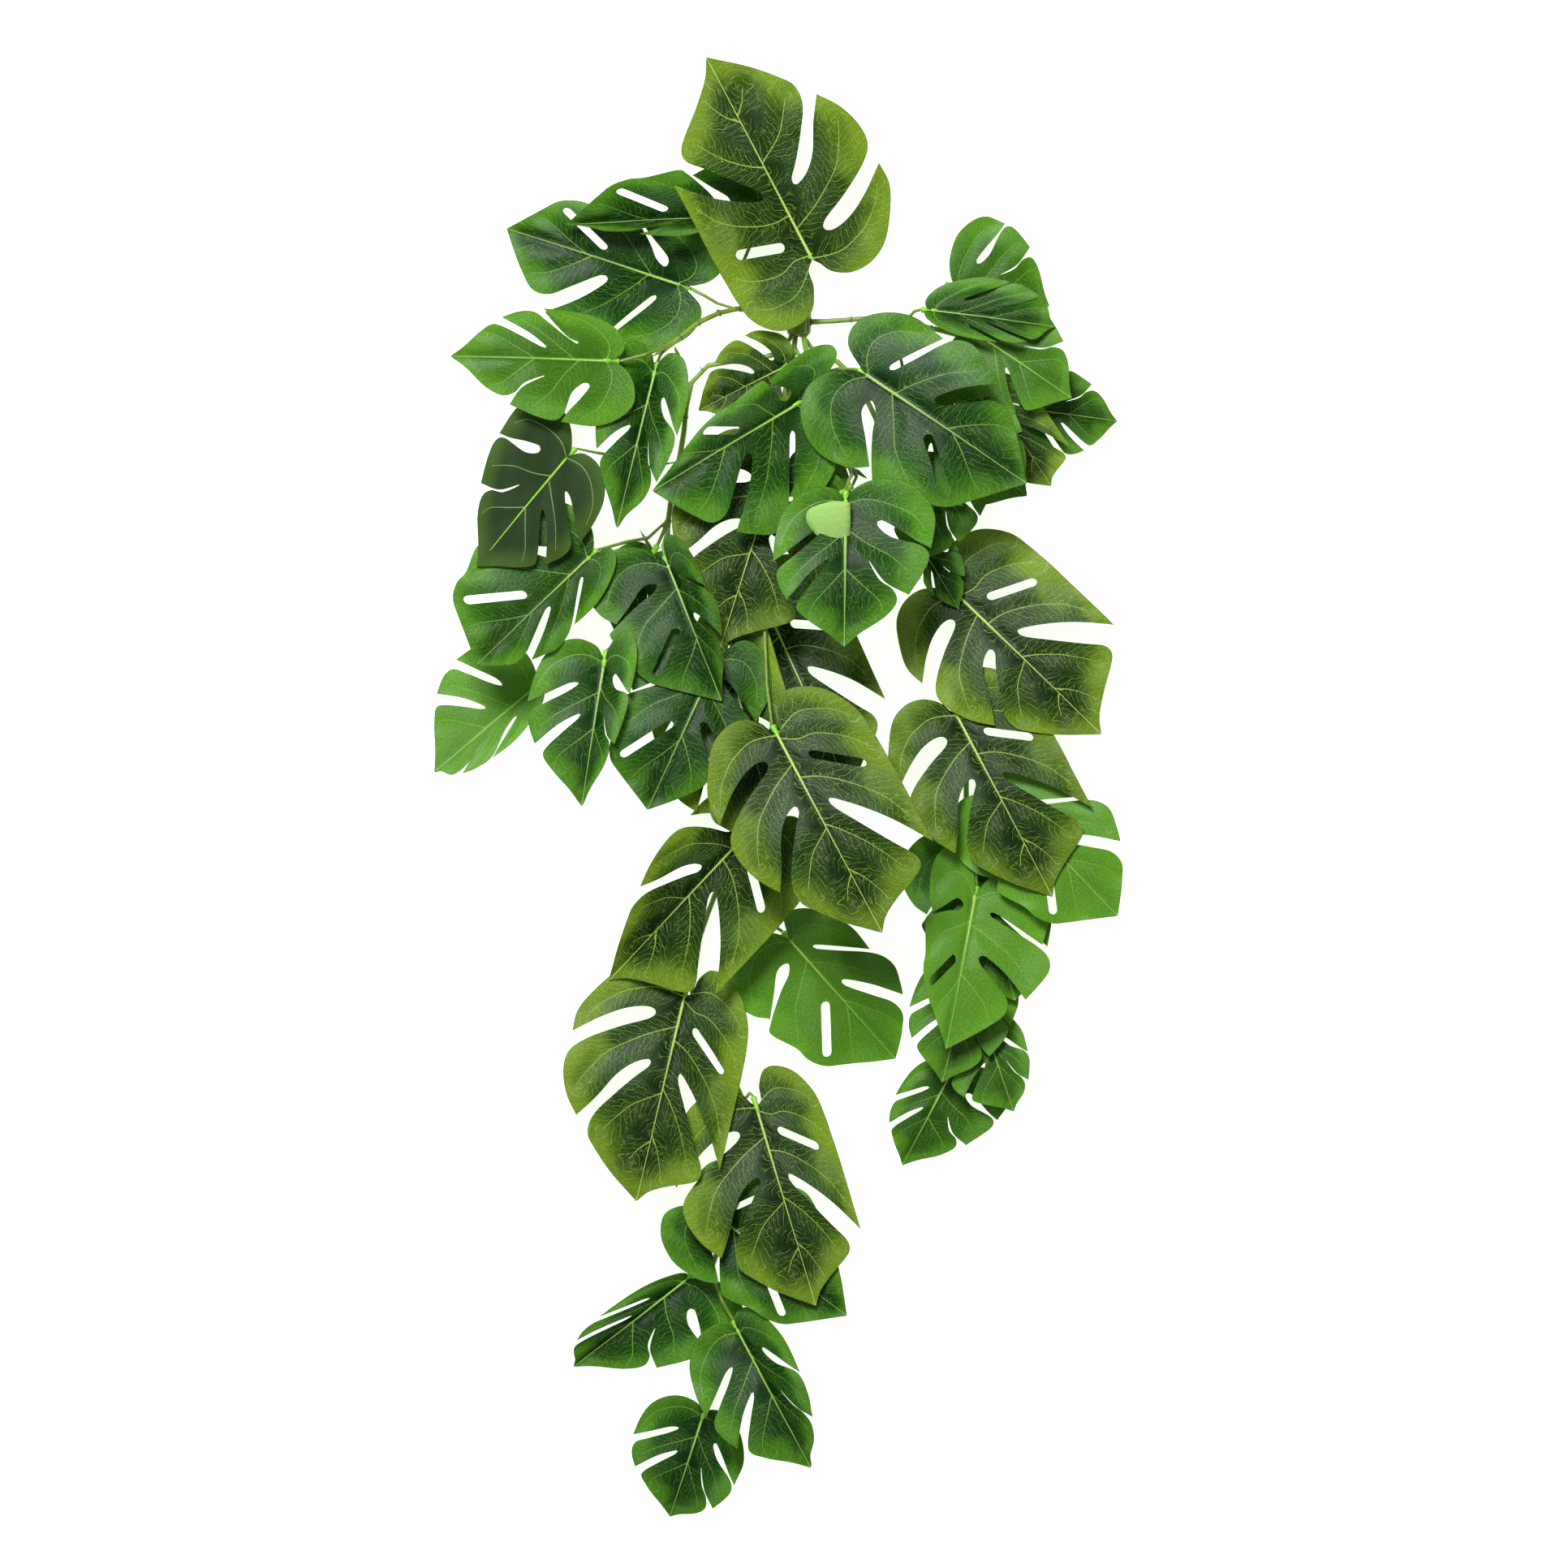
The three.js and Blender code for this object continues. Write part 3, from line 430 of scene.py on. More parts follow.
def raised(name, leaf):
    """How high the solid of this leaf lies, in mm."""
    die = DIES[leaf["die"]]
    flat = np.array([*die["left"], *die["right"]], float)
    top = surface(leaf, flat) + facing(leaf, flat) * SOLID_THICKNESS / 2
    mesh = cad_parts["leaf_" + name].data
    solid = np.empty(len(mesh.vertices) * 3)
    mesh.vertices.foreach_get("co", solid)
    solid = solid.reshape(-1, 3) / MM
    faces_up = facing(leaf, flat)[:, 2] > 0
    lifts = []
    for point, up in zip(top, faces_up):
        near = solid[np.linalg.norm(solid[:, :2] - point[:2], axis=1) < SAME_PLACE]
        if len(near):
            lifts.append((near[:, 2].max() if up else near[:, 2].min()) - point[2])
    return float(np.median(lifts))


for name, leaf in LEAVES.items():
    leaf["height"] = raised(name, leaf) + leaf.get("lift", 0)
print("heights", {name: round(leaf["height"], 1) for name, leaf in LEAVES.items()})

# %% [markdown]
# Three effects come back in several finishes, so each is a node group that is built once: the weave of the
# satin, the net of fine veins that is printed on it, and the brown streaks of moulded plastic stems.
# Short helpers place a node and wire its inputs, and name the few sums and mixes that come back, which
# keeps the trees readable.

# %% Placing nodes
def wired(tree, made, inputs, settings):
    """Gives a node its settings, and sets or wires its inputs by number or name."""
    for key, value in settings.items():
        setattr(made, key, value)
    for socket, value in inputs.items():
        if isinstance(value, bpy.types.NodeSocket):
            tree.links.new(value, made.inputs[socket])
        else:
            made.inputs[socket].default_value = value
    return made.outputs


def put(tree, kind, *inputs, out=0, at=None, **settings):
    """A new shader node, its inputs given in order, or by number in at. Gives one of its outputs."""
    made = tree.nodes.new("ShaderNode" + kind)
    return wired(tree, made, {**dict(enumerate(inputs)), **(at or {})}, settings)[out]


# %% Sums, steps and mixes
def maths(tree, operation, *inputs):
    return put(tree, "Math", *inputs, operation=operation)


def times(tree, first, second):
    return maths(tree, "MULTIPLY", first, second)


def larger(tree, first, second):
    return maths(tree, "MAXIMUM", first, second)


def scaled(tree, value, factor, rest):
    """value * factor + rest."""
    return maths(tree, "MULTIPLY_ADD", value, factor, rest)


def noise(tree, place_at, scale, detail):
    """A flat cloud round 0.5."""
    return put(tree, "TexNoise", at={0: place_at, 2: scale, 3: detail}, noise_dimensions="2D")


def blend(tree, share, first, second, way="MIX"):
    """Two colours mixed by a share."""
    return put(tree, "Mix", share, at={6: first, 7: second}, out=2, data_type="RGBA", blend_type=way)


def dimmed(tree, base, share):
    """A colour made darker or lighter by a grey share."""
    return blend(tree, 1.0, base, put(tree, "CombineXYZ", share, share, share), "MULTIPLY")


def ramp(tree, value, low, high, first=0.0, last=1.0):
    """A smooth step from first to last while the value goes from low to high."""
    return put(tree, "MapRange", value, low, high, first, last, interpolation_type="SMOOTHSTEP")


def colour(red, green, blue):
    """The linear colour of an sRGB one that is given in 0 to 255."""
    linear = [c / 255 / 12.92 if c <= 10 else ((c / 255 + 0.055) / 1.055)**2.4 for c in (red, green, blue)]
    return (*linear, 1.0)


print("the green of a leaf in linear light:", [round(part, 3) for part in colour(76, 111, 45)])


# %% Groups
def group(name, inputs, outputs):
    """An empty node group with named inputs and outputs, and their two nodes."""
    tree = bpy.data.node_groups.new(name, "ShaderNodeTree")
    for way, sockets in (("INPUT", inputs), ("OUTPUT", outputs)):
        for title, kind in sockets.items():
            tree.interface.new_socket(title, in_out=way, socket_type="NodeSocket" + kind)
    return tree, tree.nodes.new("NodeGroupInput").outputs, tree.nodes.new("NodeGroupOutput").inputs


def place(tree, shared, *inputs):
    """Places a group in a material and gives all its outputs."""
    made = tree.nodes.new("ShaderNodeGroup")
    made.node_tree = shared
    return wired(tree, made, dict(enumerate(inputs)), {})


# %% The weave of the satin
STRETCH = 0.45  # the width of a thread, as a share of the length that shows
weave, given, result = group("satin weave", {"Place": "Vector", "Pitch": "Float"},
                             {"Speckle": "Float", "Height": "Float"})
thread = put(weave, "VectorMath", given["Place"], operation="DIVIDE")
pitch = put(weave, "CombineXYZ", given["Pitch"], given["Pitch"], 1.0)
weave.links.new(pitch, thread.node.inputs[1])
warp = put(weave, "VectorMath", thread, (1.0, STRETCH, 1.0), operation="MULTIPLY")
weft = put(weave, "VectorMath", thread, (STRETCH, 1.0, 1.0), operation="MULTIPLY")
both = maths(weave, "ADD", noise(weave, warp, 1.0, 1.0), noise(weave, weft, 1.0, 1.0))
weave.links.new(ramp(weave, both, 0.7, 1.3), result["Speckle"])
weave.links.new(both, result["Height"])
print("group", weave.name, len(weave.nodes), "nodes")

# %% The printed net of veins
SLANT = 0.9  # how far a branch runs on along its lateral while it leaves it by one
LINE = (0.04, 0.26)  # a branch is full this near to its middle, and gone this far from it, in mm
LATERAL, LATERAL_TAPER = 0.52, 0.3  # half the width of a lateral, and what it loses to its end, in mm
CELLS = 2.0  # cells of the finest net between two branches
veins, given, result = group(
    "printed veins",
    {"Place": "Vector", "Along": "Float", "Across": "Float", "Side": "Float", "Share": "Float",
     "To next": "Float", "Branch pitch": "Float"},
    {"Laterals": "Float", "Branches": "Float", "Net": "Float"})
wobble = maths(veins, "SUBTRACT", noise(veins, given["Place"], 0.1, 1.0), 0.5)
width = scaled(veins, given["Share"], -LATERAL_TAPER, LATERAL)
inner = times(veins, width, 0.4)
veins.links.new(ramp(veins, given["Across"], inner, width, 1.0, 0.0), result["Laterals"])

# branches leave a lateral on both sides in turn, aslant
run = maths(veins, "SUBTRACT", given["Along"], times(veins, given["Across"], SLANT))
phase = maths(veins, "DIVIDE", run, given["Branch pitch"])
phase = scaled(veins, given["Side"], 0.25, phase)
phase = scaled(veins, wobble, 1.3, phase)
off = maths(veins, "ABSOLUTE", maths(veins, "SUBTRACT", maths(veins, "FRACT", phase), 0.5))
line = ramp(veins, times(veins, off, given["Branch pitch"]), *LINE, 1.0, 0.0)
fade = ramp(veins, given["Across"], 6.0, 22.0, 1.0, 0.35)
whole = ramp(veins, given["To next"], 0.4, 3.0)
veins.links.new(times(veins, times(veins, line, fade), whole), result["Branches"])

# the finest veins: a net of cells that are longest along the branches
cell = put(veins, "CombineXYZ", times(veins, phase, CELLS),
           scaled(veins, given["Across"], 0.2, times(veins, wobble, 1.2)), 0.0)
gap = put(veins, "TexVoronoi", at={0: cell, 2: 1.0}, voronoi_dimensions="2D", feature="DISTANCE_TO_EDGE")
fine = ramp(veins, gap, 0.01, 0.08, 1.0, 0.0)
fine = times(veins, fine, ramp(veins, noise(veins, given["Place"], 0.11, 2.0), 0.3, 0.6, 0.25, 1.0))
veins.links.new(times(veins, fine, whole), result["Net"])
print("group", veins.name, len(veins.nodes), "nodes")

# %% The streaks of moulded stems
streaks, given, result = group("stem streaks", {"Place": "Vector", "Scale": "Float"},
                               {"Brown": "Float", "Grain": "Float"})
blotch = put(streaks, "TexNoise", at={0: given["Place"], 2: given["Scale"], 3: 3.0})
speck = put(streaks, "TexNoise", at={0: given["Place"], 2: times(streaks, given["Scale"], 9.0)})
streaks.links.new(ramp(streaks, blotch, 0.42, 0.68), result["Brown"])
streaks.links.new(speck, result["Grain"])
print("group", streaks.name, len(streaks.nodes), "nodes")

# %% [markdown]
# The print of a leaf is dark round the midrib and turns yellow-green at the margin. Its veins are a pale
# yellow. Over the print lies a painted sheen, a grey-green veil in cloudy patches that the satin's threads
# break up into specks. The print follows the die, so it reads the flat place of each point and the
# measures that the point carries, and not its place in the room. The large die is printed in olive and the
# others in green.

# %% What the finishes share
def finish(name):
    """A new material with its tree emptied, and its shader."""
    made = bpy.data.materials.new(name)
    made.use_nodes = True
    tree = made.node_tree
    tree.nodes.clear()
    shader = tree.nodes.new("ShaderNodeBsdfPrincipled")
    end = tree.nodes.new("ShaderNodeOutputMaterial")
    tree.links.new(shader.outputs[0], end.inputs[0])
    return made, tree, shader


def measure(tree, name):
    """A measure that each point of a leaf carries."""
    return put(tree, "Attribute", out="Fac", attribute_name=name)


def flat_place(tree):
    """The place on the die, in mm."""
    return put(tree, "VectorMath", put(tree, "UVMap", uv_map="die"), operation="SCALE", at={3: 1 / MM})


def vein_lines(tree, flat, branch_pitch):
    """The three kinds of printed vein."""
    measures = [measure(tree, "vein_" + what) for what in ("run", "gap", "side", "share")]
    return place(tree, veins, flat, *measures, measure(tree, "to_next"), branch_pitch)


def bumped(tree, shader, height, strength, depth):
    """Lets a height tilt the surface, as if it were up to depth mm."""
    bump = tree.nodes.new("ShaderNodeBump")
    bump.inputs["Strength"].default_value = strength
    bump.inputs["Distance"].default_value = depth * MM
    tree.links.new(height, bump.inputs["Height"])
    tree.links.new(bump.outputs[0], shader.inputs["Normal"])


# %% The ground colour of the print
EDGE_CLOUD, RIB_CLOUD = 32.0, 26.0  # how far clouds move the border of the margin's and heart's colour, in mm
# At a tone of -1 the heart's dark colour is partly painted shade.
LIGHTER, DARKER = 0.72, 0.6  # share of the margin's colour at a tone of 1, of the heart's at one of -1
# Painted sheen: the pale grey-green that a tone over 1 lays between the veins.
PAINTED_GREY_SHEEN = colour(118, 148, 104)  # what a tone over 1 adds between the veins


def ground(tree, flat, look):
    """Dark heart, paler margin, tinted by the tone: partly print, painted shade below 0, painted sheen over
    1.
    """
    dark, body, margin = (colour(*look[part]) for part in ("dark", "body", "margin"))
    edge, tone_shade_sheen = look["edge"], measure(tree, "tone_shade_sheen")
    cloud = maths(tree, "SUBTRACT", noise(tree, flat, 0.035, 3.0), 0.5)
    from_edge = scaled(tree, cloud, EDGE_CLOUD, measure(tree, "from_edge"))
    from_rib = maths(tree, "ABSOLUTE", put(tree, "SeparateXYZ", flat, out="Y"))
    from_rib = scaled(tree, cloud, RIB_CLOUD, from_rib)
    heart = times(tree, ramp(tree, from_rib, 1.0, look["heart"], 1.0, 0.0),
                  ramp(tree, from_edge, 0.0, edge, 0.2, 1.0))
    heart = larger(tree, heart, ramp(tree, from_edge, edge * 0.4, edge * 1.6, 0.0, 0.8))
    outer = blend(tree, ramp(tree, from_edge, 0.0, edge, look["paling"], 0.0), body, margin)
    base = blend(tree, heart, outer, dark)
    # Lighter above a tone of 0; darker below it, partly as painted shade; a painted grey sheen above 1.
    base = blend(tree, times(tree, ramp(tree, tone_shade_sheen, 0.0, 1.0), LIGHTER), base, margin)
    base = blend(tree, times(tree, ramp(tree, tone_shade_sheen, -1.0, 0.0, 1.0, 0.0), DARKER), base, dark)
    between = ramp(tree, measure(tree, "vein_gap"), 0.0, 7.0, 0.3, 1.0)
    return blend(tree, times(tree, ramp(tree, tone_shade_sheen, 1.0, 2.0), between), base, PAINTED_GREY_SHEEN)


# %% The midrib's stripe
STRIPE, STRIPE_END = 1.0, 0.32  # half the width of the pale stripe at the notch and at its thin end, in mm
STRIPE_REACH = 100.0  # how far from the notch that end is, in mm
PALE_REACH = 60.0  # how far from the notch the stripe is palest, in mm


def stripe(tree, flat, strength):
    """Where the pale midrib is printed, and how much paler it is towards the notch."""
    across = maths(tree, "ABSOLUTE", put(tree, "SeparateXYZ", flat, out="Y"))
    ahead = put(tree, "SeparateXYZ", flat, out="X")
    half = ramp(tree, ahead, 0.0, STRIPE_REACH, STRIPE, STRIPE_END)
    rib = ramp(tree, across, times(tree, half, 0.5), half, 1.0, 0.0)
    rib = times(tree, times(tree, rib, ramp(tree, ahead, 0.0, 1.0)), strength)
    return rib, times(tree, rib, ramp(tree, ahead, 0.0, PALE_REACH, 0.75, 0.2))


# %% The printed satin
# The second colour is a painted sheen, a grey-green veil laid on the print in patches; below, its share where
# thickest.
RIB_PALE, PAINTED_SHEEN, RIM = colour(168, 196, 104), colour(96, 128, 86), colour(48, 52, 26)
PAINTED_SHEEN_MOST = 0.28  # share of the haze where it is thickest
RIM_WIDTH = (0.1, 0.55)  # how far from the cut the dark rim starts to fade and is gone, in mm
WEAVE_PITCH = 0.42  # of the threads of the face, in mm
BRANCH_PITCH = 4.4  # from one branch of a vein to the next, in mm


def printed(name, look):
    """The face of the leaves, printed in one set of colours."""
    made, tree, shader = finish(name)
    flat = flat_place(tree)
    woven = place(tree, weave, flat, WEAVE_PITCH)
    lines = vein_lines(tree, flat, BRANCH_PITCH)
    rib, pale = stripe(tree, flat, look["midrib"])
    weight, *others = [times(tree, lines[kind], strength)
                       for kind, strength in zip(("Laterals", "Branches", "Net"), look["veins"])]
    for other in (*others, rib):
        weight = larger(tree, weight, other)
    base = blend(tree, weight, ground(tree, flat, look), colour(*look["vein"]))
    base = blend(tree, pale, base, RIB_PALE)
    # Painted sheen: a grey-green veil in cloudy patches, broken into specks by the weave of the satin.
    sheen_patches = ramp(tree, noise(tree, flat, 0.022, 2.0), 0.46, 0.68, 0.0, PAINTED_SHEEN_MOST)
    base = blend(tree, times(tree, sheen_patches, ramp(tree, woven["Speckle"], 0.45, 0.85)), base, PAINTED_SHEEN)
    base = blend(tree, ramp(tree, measure(tree, "from_edge"), *RIM_WIDTH, 0.6, 0.0), base, RIM)
    base = dimmed(tree, base, scaled(tree, woven["Speckle"], 0.6, 0.7))
    tree.links.new(base, shader.inputs["Base Color"])
    tree.links.new(scaled(tree, woven["Speckle"], -0.12, look["roughness"]), shader.inputs["Roughness"])
    bumped(tree, shader, scaled(tree, woven["Height"], 0.5, times(tree, weight, 0.35)), 0.22, 0.35)
    shader.inputs["Specular IOR Level"].default_value = 0.06
    return made


# edge and heart: how far the pale margin and the dark heart reach, in mm
olive_print = printed("olive print", {
    "dark": (9, 33, 6), "body": (34, 64, 10), "margin": (102, 130, 30), "vein": (138, 168, 70),
    "veins": (0.8, 0.45, 0.3), "midrib": 0.95, "edge": 22.0, "heart": 38.0, "paling": 0.85,
    "roughness": 0.42})
green_print = printed("green print", {
    "dark": (6, 38, 5), "body": (22, 70, 8), "margin": (82, 134, 32), "vein": (116, 158, 64),
    "veins": (0.6, 0.38, 0.25), "midrib": 0.7, "edge": 18.0, "heart": 30.0, "paling": 0.6,
    "roughness": 0.4})
print("prints:", olive_print.name, len(olive_print.node_tree.nodes), "nodes, and", green_print.name)

# %% [markdown]
# The back of the fabric is not printed: it is a matte pale green, and only the laterals show through. A
# leaf that has turned over lies in the shade of its own bunch, so its back is painted a deep green for
# that shade, for which its tone is -1. The edge is where the knife went, a thin brownish line. Stems,
# collars and the crown are moulded from one olive plastic, brown in places and brighter in the collars.
# The same streaks with other colours and sizes give all of them.

# %% The back and the cut edge of the leaves
BACK_WEAVE_PITCH, BACK_BRANCH_PITCH = 0.6, 6.5  # in mm
back, tree, shader = finish("leaf back")
flat = flat_place(tree)
woven = place(tree, weave, flat, BACK_WEAVE_PITCH)
lines = vein_lines(tree, flat, BACK_BRANCH_PITCH)
from_edge = measure(tree, "from_edge")
plain = blend(tree, ramp(tree, from_edge, 0.0, 24.0), colour(150, 185, 100), colour(118, 160, 84))
# Painted shade: a leaf lying face down in its bunch gets a deep green back in place of the pale one.
painted_shade_green = blend(tree, ramp(tree, from_edge, 0.0, 16.0), colour(50, 76, 20), colour(24, 46, 12))
through = blend(tree, ramp(tree, measure(tree, "tone_shade_sheen"), -1.0, -0.5, 1.0, 0.0), plain, painted_shade_green)
through = blend(tree, times(tree, lines["Laterals"], 0.3), through, colour(170, 200, 120))
through = dimmed(tree, through, scaled(tree, woven["Speckle"], 0.2, 0.9))
tree.links.new(through, shader.inputs["Base Color"])
tree.links.new(scaled(tree, woven["Speckle"], -0.1, 0.72), shader.inputs["Roughness"])
shader.inputs["Specular IOR Level"].default_value = 0.15

cut, tree, shader = finish("cut edge")
marks = place(tree, streaks, put(tree, "TexCoord", out="Object"), 300.0)
fray = blend(tree, marks["Brown"], colour(70, 84, 34), colour(96, 70, 40))
tree.links.new(fray, shader.inputs["Base Color"])
tree.links.new(scaled(tree, marks["Grain"], 0.2, 0.6), shader.inputs["Roughness"])
print("finishes:", back.name, "and", cut.name)


# %% The moulded plastics
def moulded(name, plain, brown, share, scale, roughness):
    """Plastic with brown blotches, share of the way to the brown."""
    made, tree, shader = finish(name)
    marks = place(tree, streaks, put(tree, "TexCoord", out="Object"), scale)
    base = blend(tree, times(tree, marks["Brown"], share), plain, brown)
    base = dimmed(tree, base, scaled(tree, marks["Grain"], 0.4, 0.8))
    tree.links.new(base, shader.inputs["Base Color"])
    tree.links.new(scaled(tree, marks["Grain"], 0.25, roughness), shader.inputs["Roughness"])
    bumped(tree, shader, marks["Grain"], 0.3, 0.3)
    return made


stem_plastic = moulded("stem plastic", colour(98, 130, 28), colour(90, 78, 26), 0.45, 45.0, 0.36)
knot_plastic = moulded("knot plastic", colour(88, 104, 32), colour(86, 62, 30), 0.8, 120.0, 0.42)
collar_plastic = moulded("collar plastic", colour(112, 178, 30), colour(128, 150, 50), 0.5, 120.0, 0.32)
print("materials:", [m.name for m in bpy.data.materials])

# %% [markdown]
# A leaf is one closed body: the printed face, the back, the cut edge, a raised midrib on the face, a
# plastic rib under it and the collar that holds the stalk. Face and back are made point by point from
# the die's net, so the midrib and the creases of the veins are real relief, which a bump would only
# suggest. Between its veins a real leaf is pressed into soft pillows.

# %% The relief of a leaf
BLADE = 0.45  # thickness of the fabric, in mm
RIB_HEIGHT = (0.9, 0.15)  # of the midrib over the face, at the notch and at the tip
PILLOW = 1.0  # how far the fabric rises between two veins
CREASE = 5.5  # how far from a vein the fabric has mostly risen
WAVE = 0.9  # how far the margin waves
WAVES, WAVELENGTH = 4, 55  # how many waves cross, and about how long each is
MARGIN = 14  # how far in from the margin its waves die down


def relief(die, seed):
    """How far each point of the net stands out, for the face and for the body."""
    u, v = die["points"].T
    share = np.clip(u / die["length"], 0, 1)
    half = rib_half_width(u, die["length"])
    on_rib = np.clip(1 - np.abs(v) / half, 0, 1) * (u > 0)
    ridge = on_rib * (RIB_HEIGHT[0] + (RIB_HEIGHT[1] - RIB_HEIGHT[0]) * share)
    valley = np.minimum(die["vein_gap"], np.where((u > 0) & (u < die["length"]), np.abs(v) * 1.2, 1e9))
    pillow = PILLOW * (1 - np.exp(-(valley / CREASE)**2))
    rng = np.random.default_rng(seed)
    wave = np.zeros(len(u))
    for _ in range(WAVES):
        way = rng.normal(size=2) * 2 * math.pi / WAVELENGTH
        wave += np.sin(u * way[0] + v * way[1] + rng.uniform(0, 2 * math.pi)) / WAVES
    rim = np.exp(-die["from_edge"] / MARGIN)
    return ridge, pillow + wave * WAVE * (0.35 + rim)


# %% The collar and the rib
COLLAR = [(-2.0, 0.7), (-1.0, 1.25), (0.5, 1.6), (2.0, 1.95), (3.4, 1.75), (4.2, 1.9), (5.0, 1.75),
          (6.5, 1.7), (7.6, 1.95), (8.6, 2.1), (9.0, 1.7)]  # how far back from its place, and the radius
COLLAR_PLACE, COLLAR_AIM = 3, 9  # where on the midrib its place is, and the point that it is in line with
COLLAR_DROP, COLLAR_SLOPE = 0.95, 0.25  # how far it hangs under that place, and its fall in each mm back
RIB_START, RIB_SHARE = 2.5, 0.86  # where the rib starts, and the share of the midrib where it ends
RIB_RADIUS = (0.85, 0.3)  # where it starts and where it ends
RIB_SUNK = 0.45  # how far its middle lies under the fabric, as a share of its radius
COLLAR_SIDES, RIB_SIDES, RIB_RINGS = 14, 8, 26


def ribbon(centre, across, up, radii, sides):
    """Rings round a path, as points, with the faces that join them and close the ends."""
    turns = np.arange(sides) * 2 * math.pi / sides
    rings = [c + r * (np.cos(t) * a + np.sin(t) * n) for c, a, n, r in zip(centre, across, up, radii)
             for t in turns]
    faces = []
    for ring in range(len(radii) - 1):
        for k in range(sides):
            a, b = ring * sides + k, ring * sides + (k + 1) % sides
            faces.append((a, b, b + sides, a + sides))
    faces.append(tuple(reversed(range(sides))))
    faces.append(tuple(range((len(radii) - 1) * sides, len(radii) * sides)))
    return np.array(rings), faces


def collar(leaf):
    """The sleeve that takes the stalk, from under the notch back."""
    notch, under, aim = surface(leaf, np.array([(0, 0), (COLLAR_PLACE, 0), (COLLAR_AIM, 0)], float))
    ahead = (aim - notch) / np.linalg.norm(aim - notch)
    back = np.array(leaf.get("stem", (-ahead[0], -ahead[1], -ahead[2] - COLLAR_SLOPE)))
    back = back / np.linalg.norm(back)
    side = np.cross(back, (0, 0, 1.0))
    side /= np.linalg.norm(side)
    up = np.cross(side, back)
    start = under - (0, 0, COLLAR_DROP)
    centre = [start + back * distance for distance, _ in COLLAR]
    count = len(COLLAR)
    return ribbon(centre, [side] * count, [up] * count, [radius for _, radius in COLLAR], COLLAR_SIDES)


def back_rib(leaf, body):
    """The plastic rib that stiffens the blade from below. body is how far the fabric stands out."""
    die = DIES[leaf["die"]]
    steps = np.linspace(RIB_START, die["length"] * RIB_SHARE, RIB_RINGS)
    u, v = die["points"].T
    middle = sorted(np.flatnonzero((np.abs(v) < 0.01) & (u > 0)), key=lambda k: u[k])
    lift = np.interp(steps, u[middle], body[middle]) - PILLOW / 2
    flat = np.stack([steps, 0 * steps], axis=1)
    centre = surface(leaf, flat)
    normal = facing(leaf, flat)
    ahead = np.gradient(centre, axis=0)
    across = np.cross(normal, ahead)
    across /= np.linalg.norm(across, axis=1)[:, None]
    radii = np.linspace(*RIB_RADIUS, RIB_RINGS)
    centre = centre + normal * (lift - BLADE / 2 - RIB_SUNK * radii)[:, None]
    return ribbon(centre, across, normal, radii, RIB_SIDES)


# %% From points to a mesh
FACE, BACK, EDGE, SLEEVE = range(4)


def shell(faces, rim, count):
    """The faces of a thin closed blade, whose underside repeats the points of its face."""
    face = [tuple(f) for f in faces.tolist()]
    underside = [(a + count, c + count, b + count) for a, b, c in face]
    edge = [(a, a + count, b + count, b) for a, b in rim]
    return face + underside + edge, [FACE] * len(face) + [BACK] * len(face) + [EDGE] * len(edge)


def blade_mesh(name, points, polygons, slots, plan, measures):
    """A mesh of points in mm. Each carries its place on the die and its measures."""
    mesh = bpy.data.meshes.new(name)
    mesh.from_pydata((points * MM).tolist(), [], polygons)
    for title, values in measures.items():
        layer = mesh.attributes.new(title, "FLOAT", "POINT")
        layer.data.foreach_set("value", values.astype(np.float32))
    uv = mesh.uv_layers.new(name="die")
    corners = np.empty(len(mesh.loops), dtype=np.int32)
    mesh.loops.foreach_get("vertex_index", corners)
    uv.data.foreach_set("uv", (plan * MM)[corners].astype(np.float32).ravel())
    mesh.polygons.foreach_set("material_index", slots)
    mesh.polygons.foreach_set("use_smooth", [slot != EDGE for slot in slots])
    mesh.update()
    return mesh


def crisp_rim(mesh):
    """Ends the smooth shading at the cut edge. Flat faces alone don't: the renderer would round the rim."""
    slots = np.empty(len(mesh.polygons), dtype=np.int32)
    mesh.polygons.foreach_get("material_index", slots)
    sizes = np.empty(len(mesh.polygons), dtype=np.int32)
    mesh.polygons.foreach_get("loop_total", sizes)
    of_edge = np.empty(len(mesh.loops), dtype=np.int32)
    mesh.loops.foreach_get("edge_index", of_edge)
    sharp = np.zeros(len(mesh.edges), dtype=bool)
    sharp[of_edge[np.repeat(slots == EDGE, sizes)]] = True
    mesh.edges.foreach_set("use_edge_sharp", sharp)


# %% The leaves, one by one
MEASURES = ("vein_gap", "vein_run", "vein_side", "vein_share", "to_next", "from_edge")
CLEAR = 0.05  # nothing lies nearer to the floor, in mm


def leaf_mesh(name, leaf, seed):
    """The mesh of one leaf, in its place."""
    die = DIES[leaf["die"]]
    flat = die["points"]
    ridge, body = relief(die, seed)
    normal = facing(leaf, flat)
    middle = surface(leaf, flat) + normal * (body - PILLOW / 2)[:, None]
    points = [middle + normal * (BLADE / 2 + ridge)[:, None], middle - normal * BLADE / 2]
    count = len(flat)
    polygons, slots = shell(die["faces"], die["rim"], count)
    start = 2 * count
    for ring_points, ring_faces in (back_rib(leaf, body), collar(leaf)):
        points.append(ring_points)
        polygons += [tuple(k + start for k in f) for f in ring_faces]
        slots += [SLEEVE] * len(ring_faces)
        start += len(ring_points)
    points = np.concatenate(points)
    points[:, 2] = np.maximum(points[:, 2] + leaf["height"], CLEAR)

    def for_all(values):
        return np.concatenate([values, values, np.zeros((start - 2 * count, *values.shape[1:]))])

    measures = {title: for_all(die[title]) for title in MEASURES}
    measures["tone_shade_sheen"] = for_all(np.full(count, leaf["tone_shade_sheen"]))
    mesh = blade_mesh(name, points, polygons, slots, for_all(flat), measures)
    crisp_rim(mesh)
    return mesh


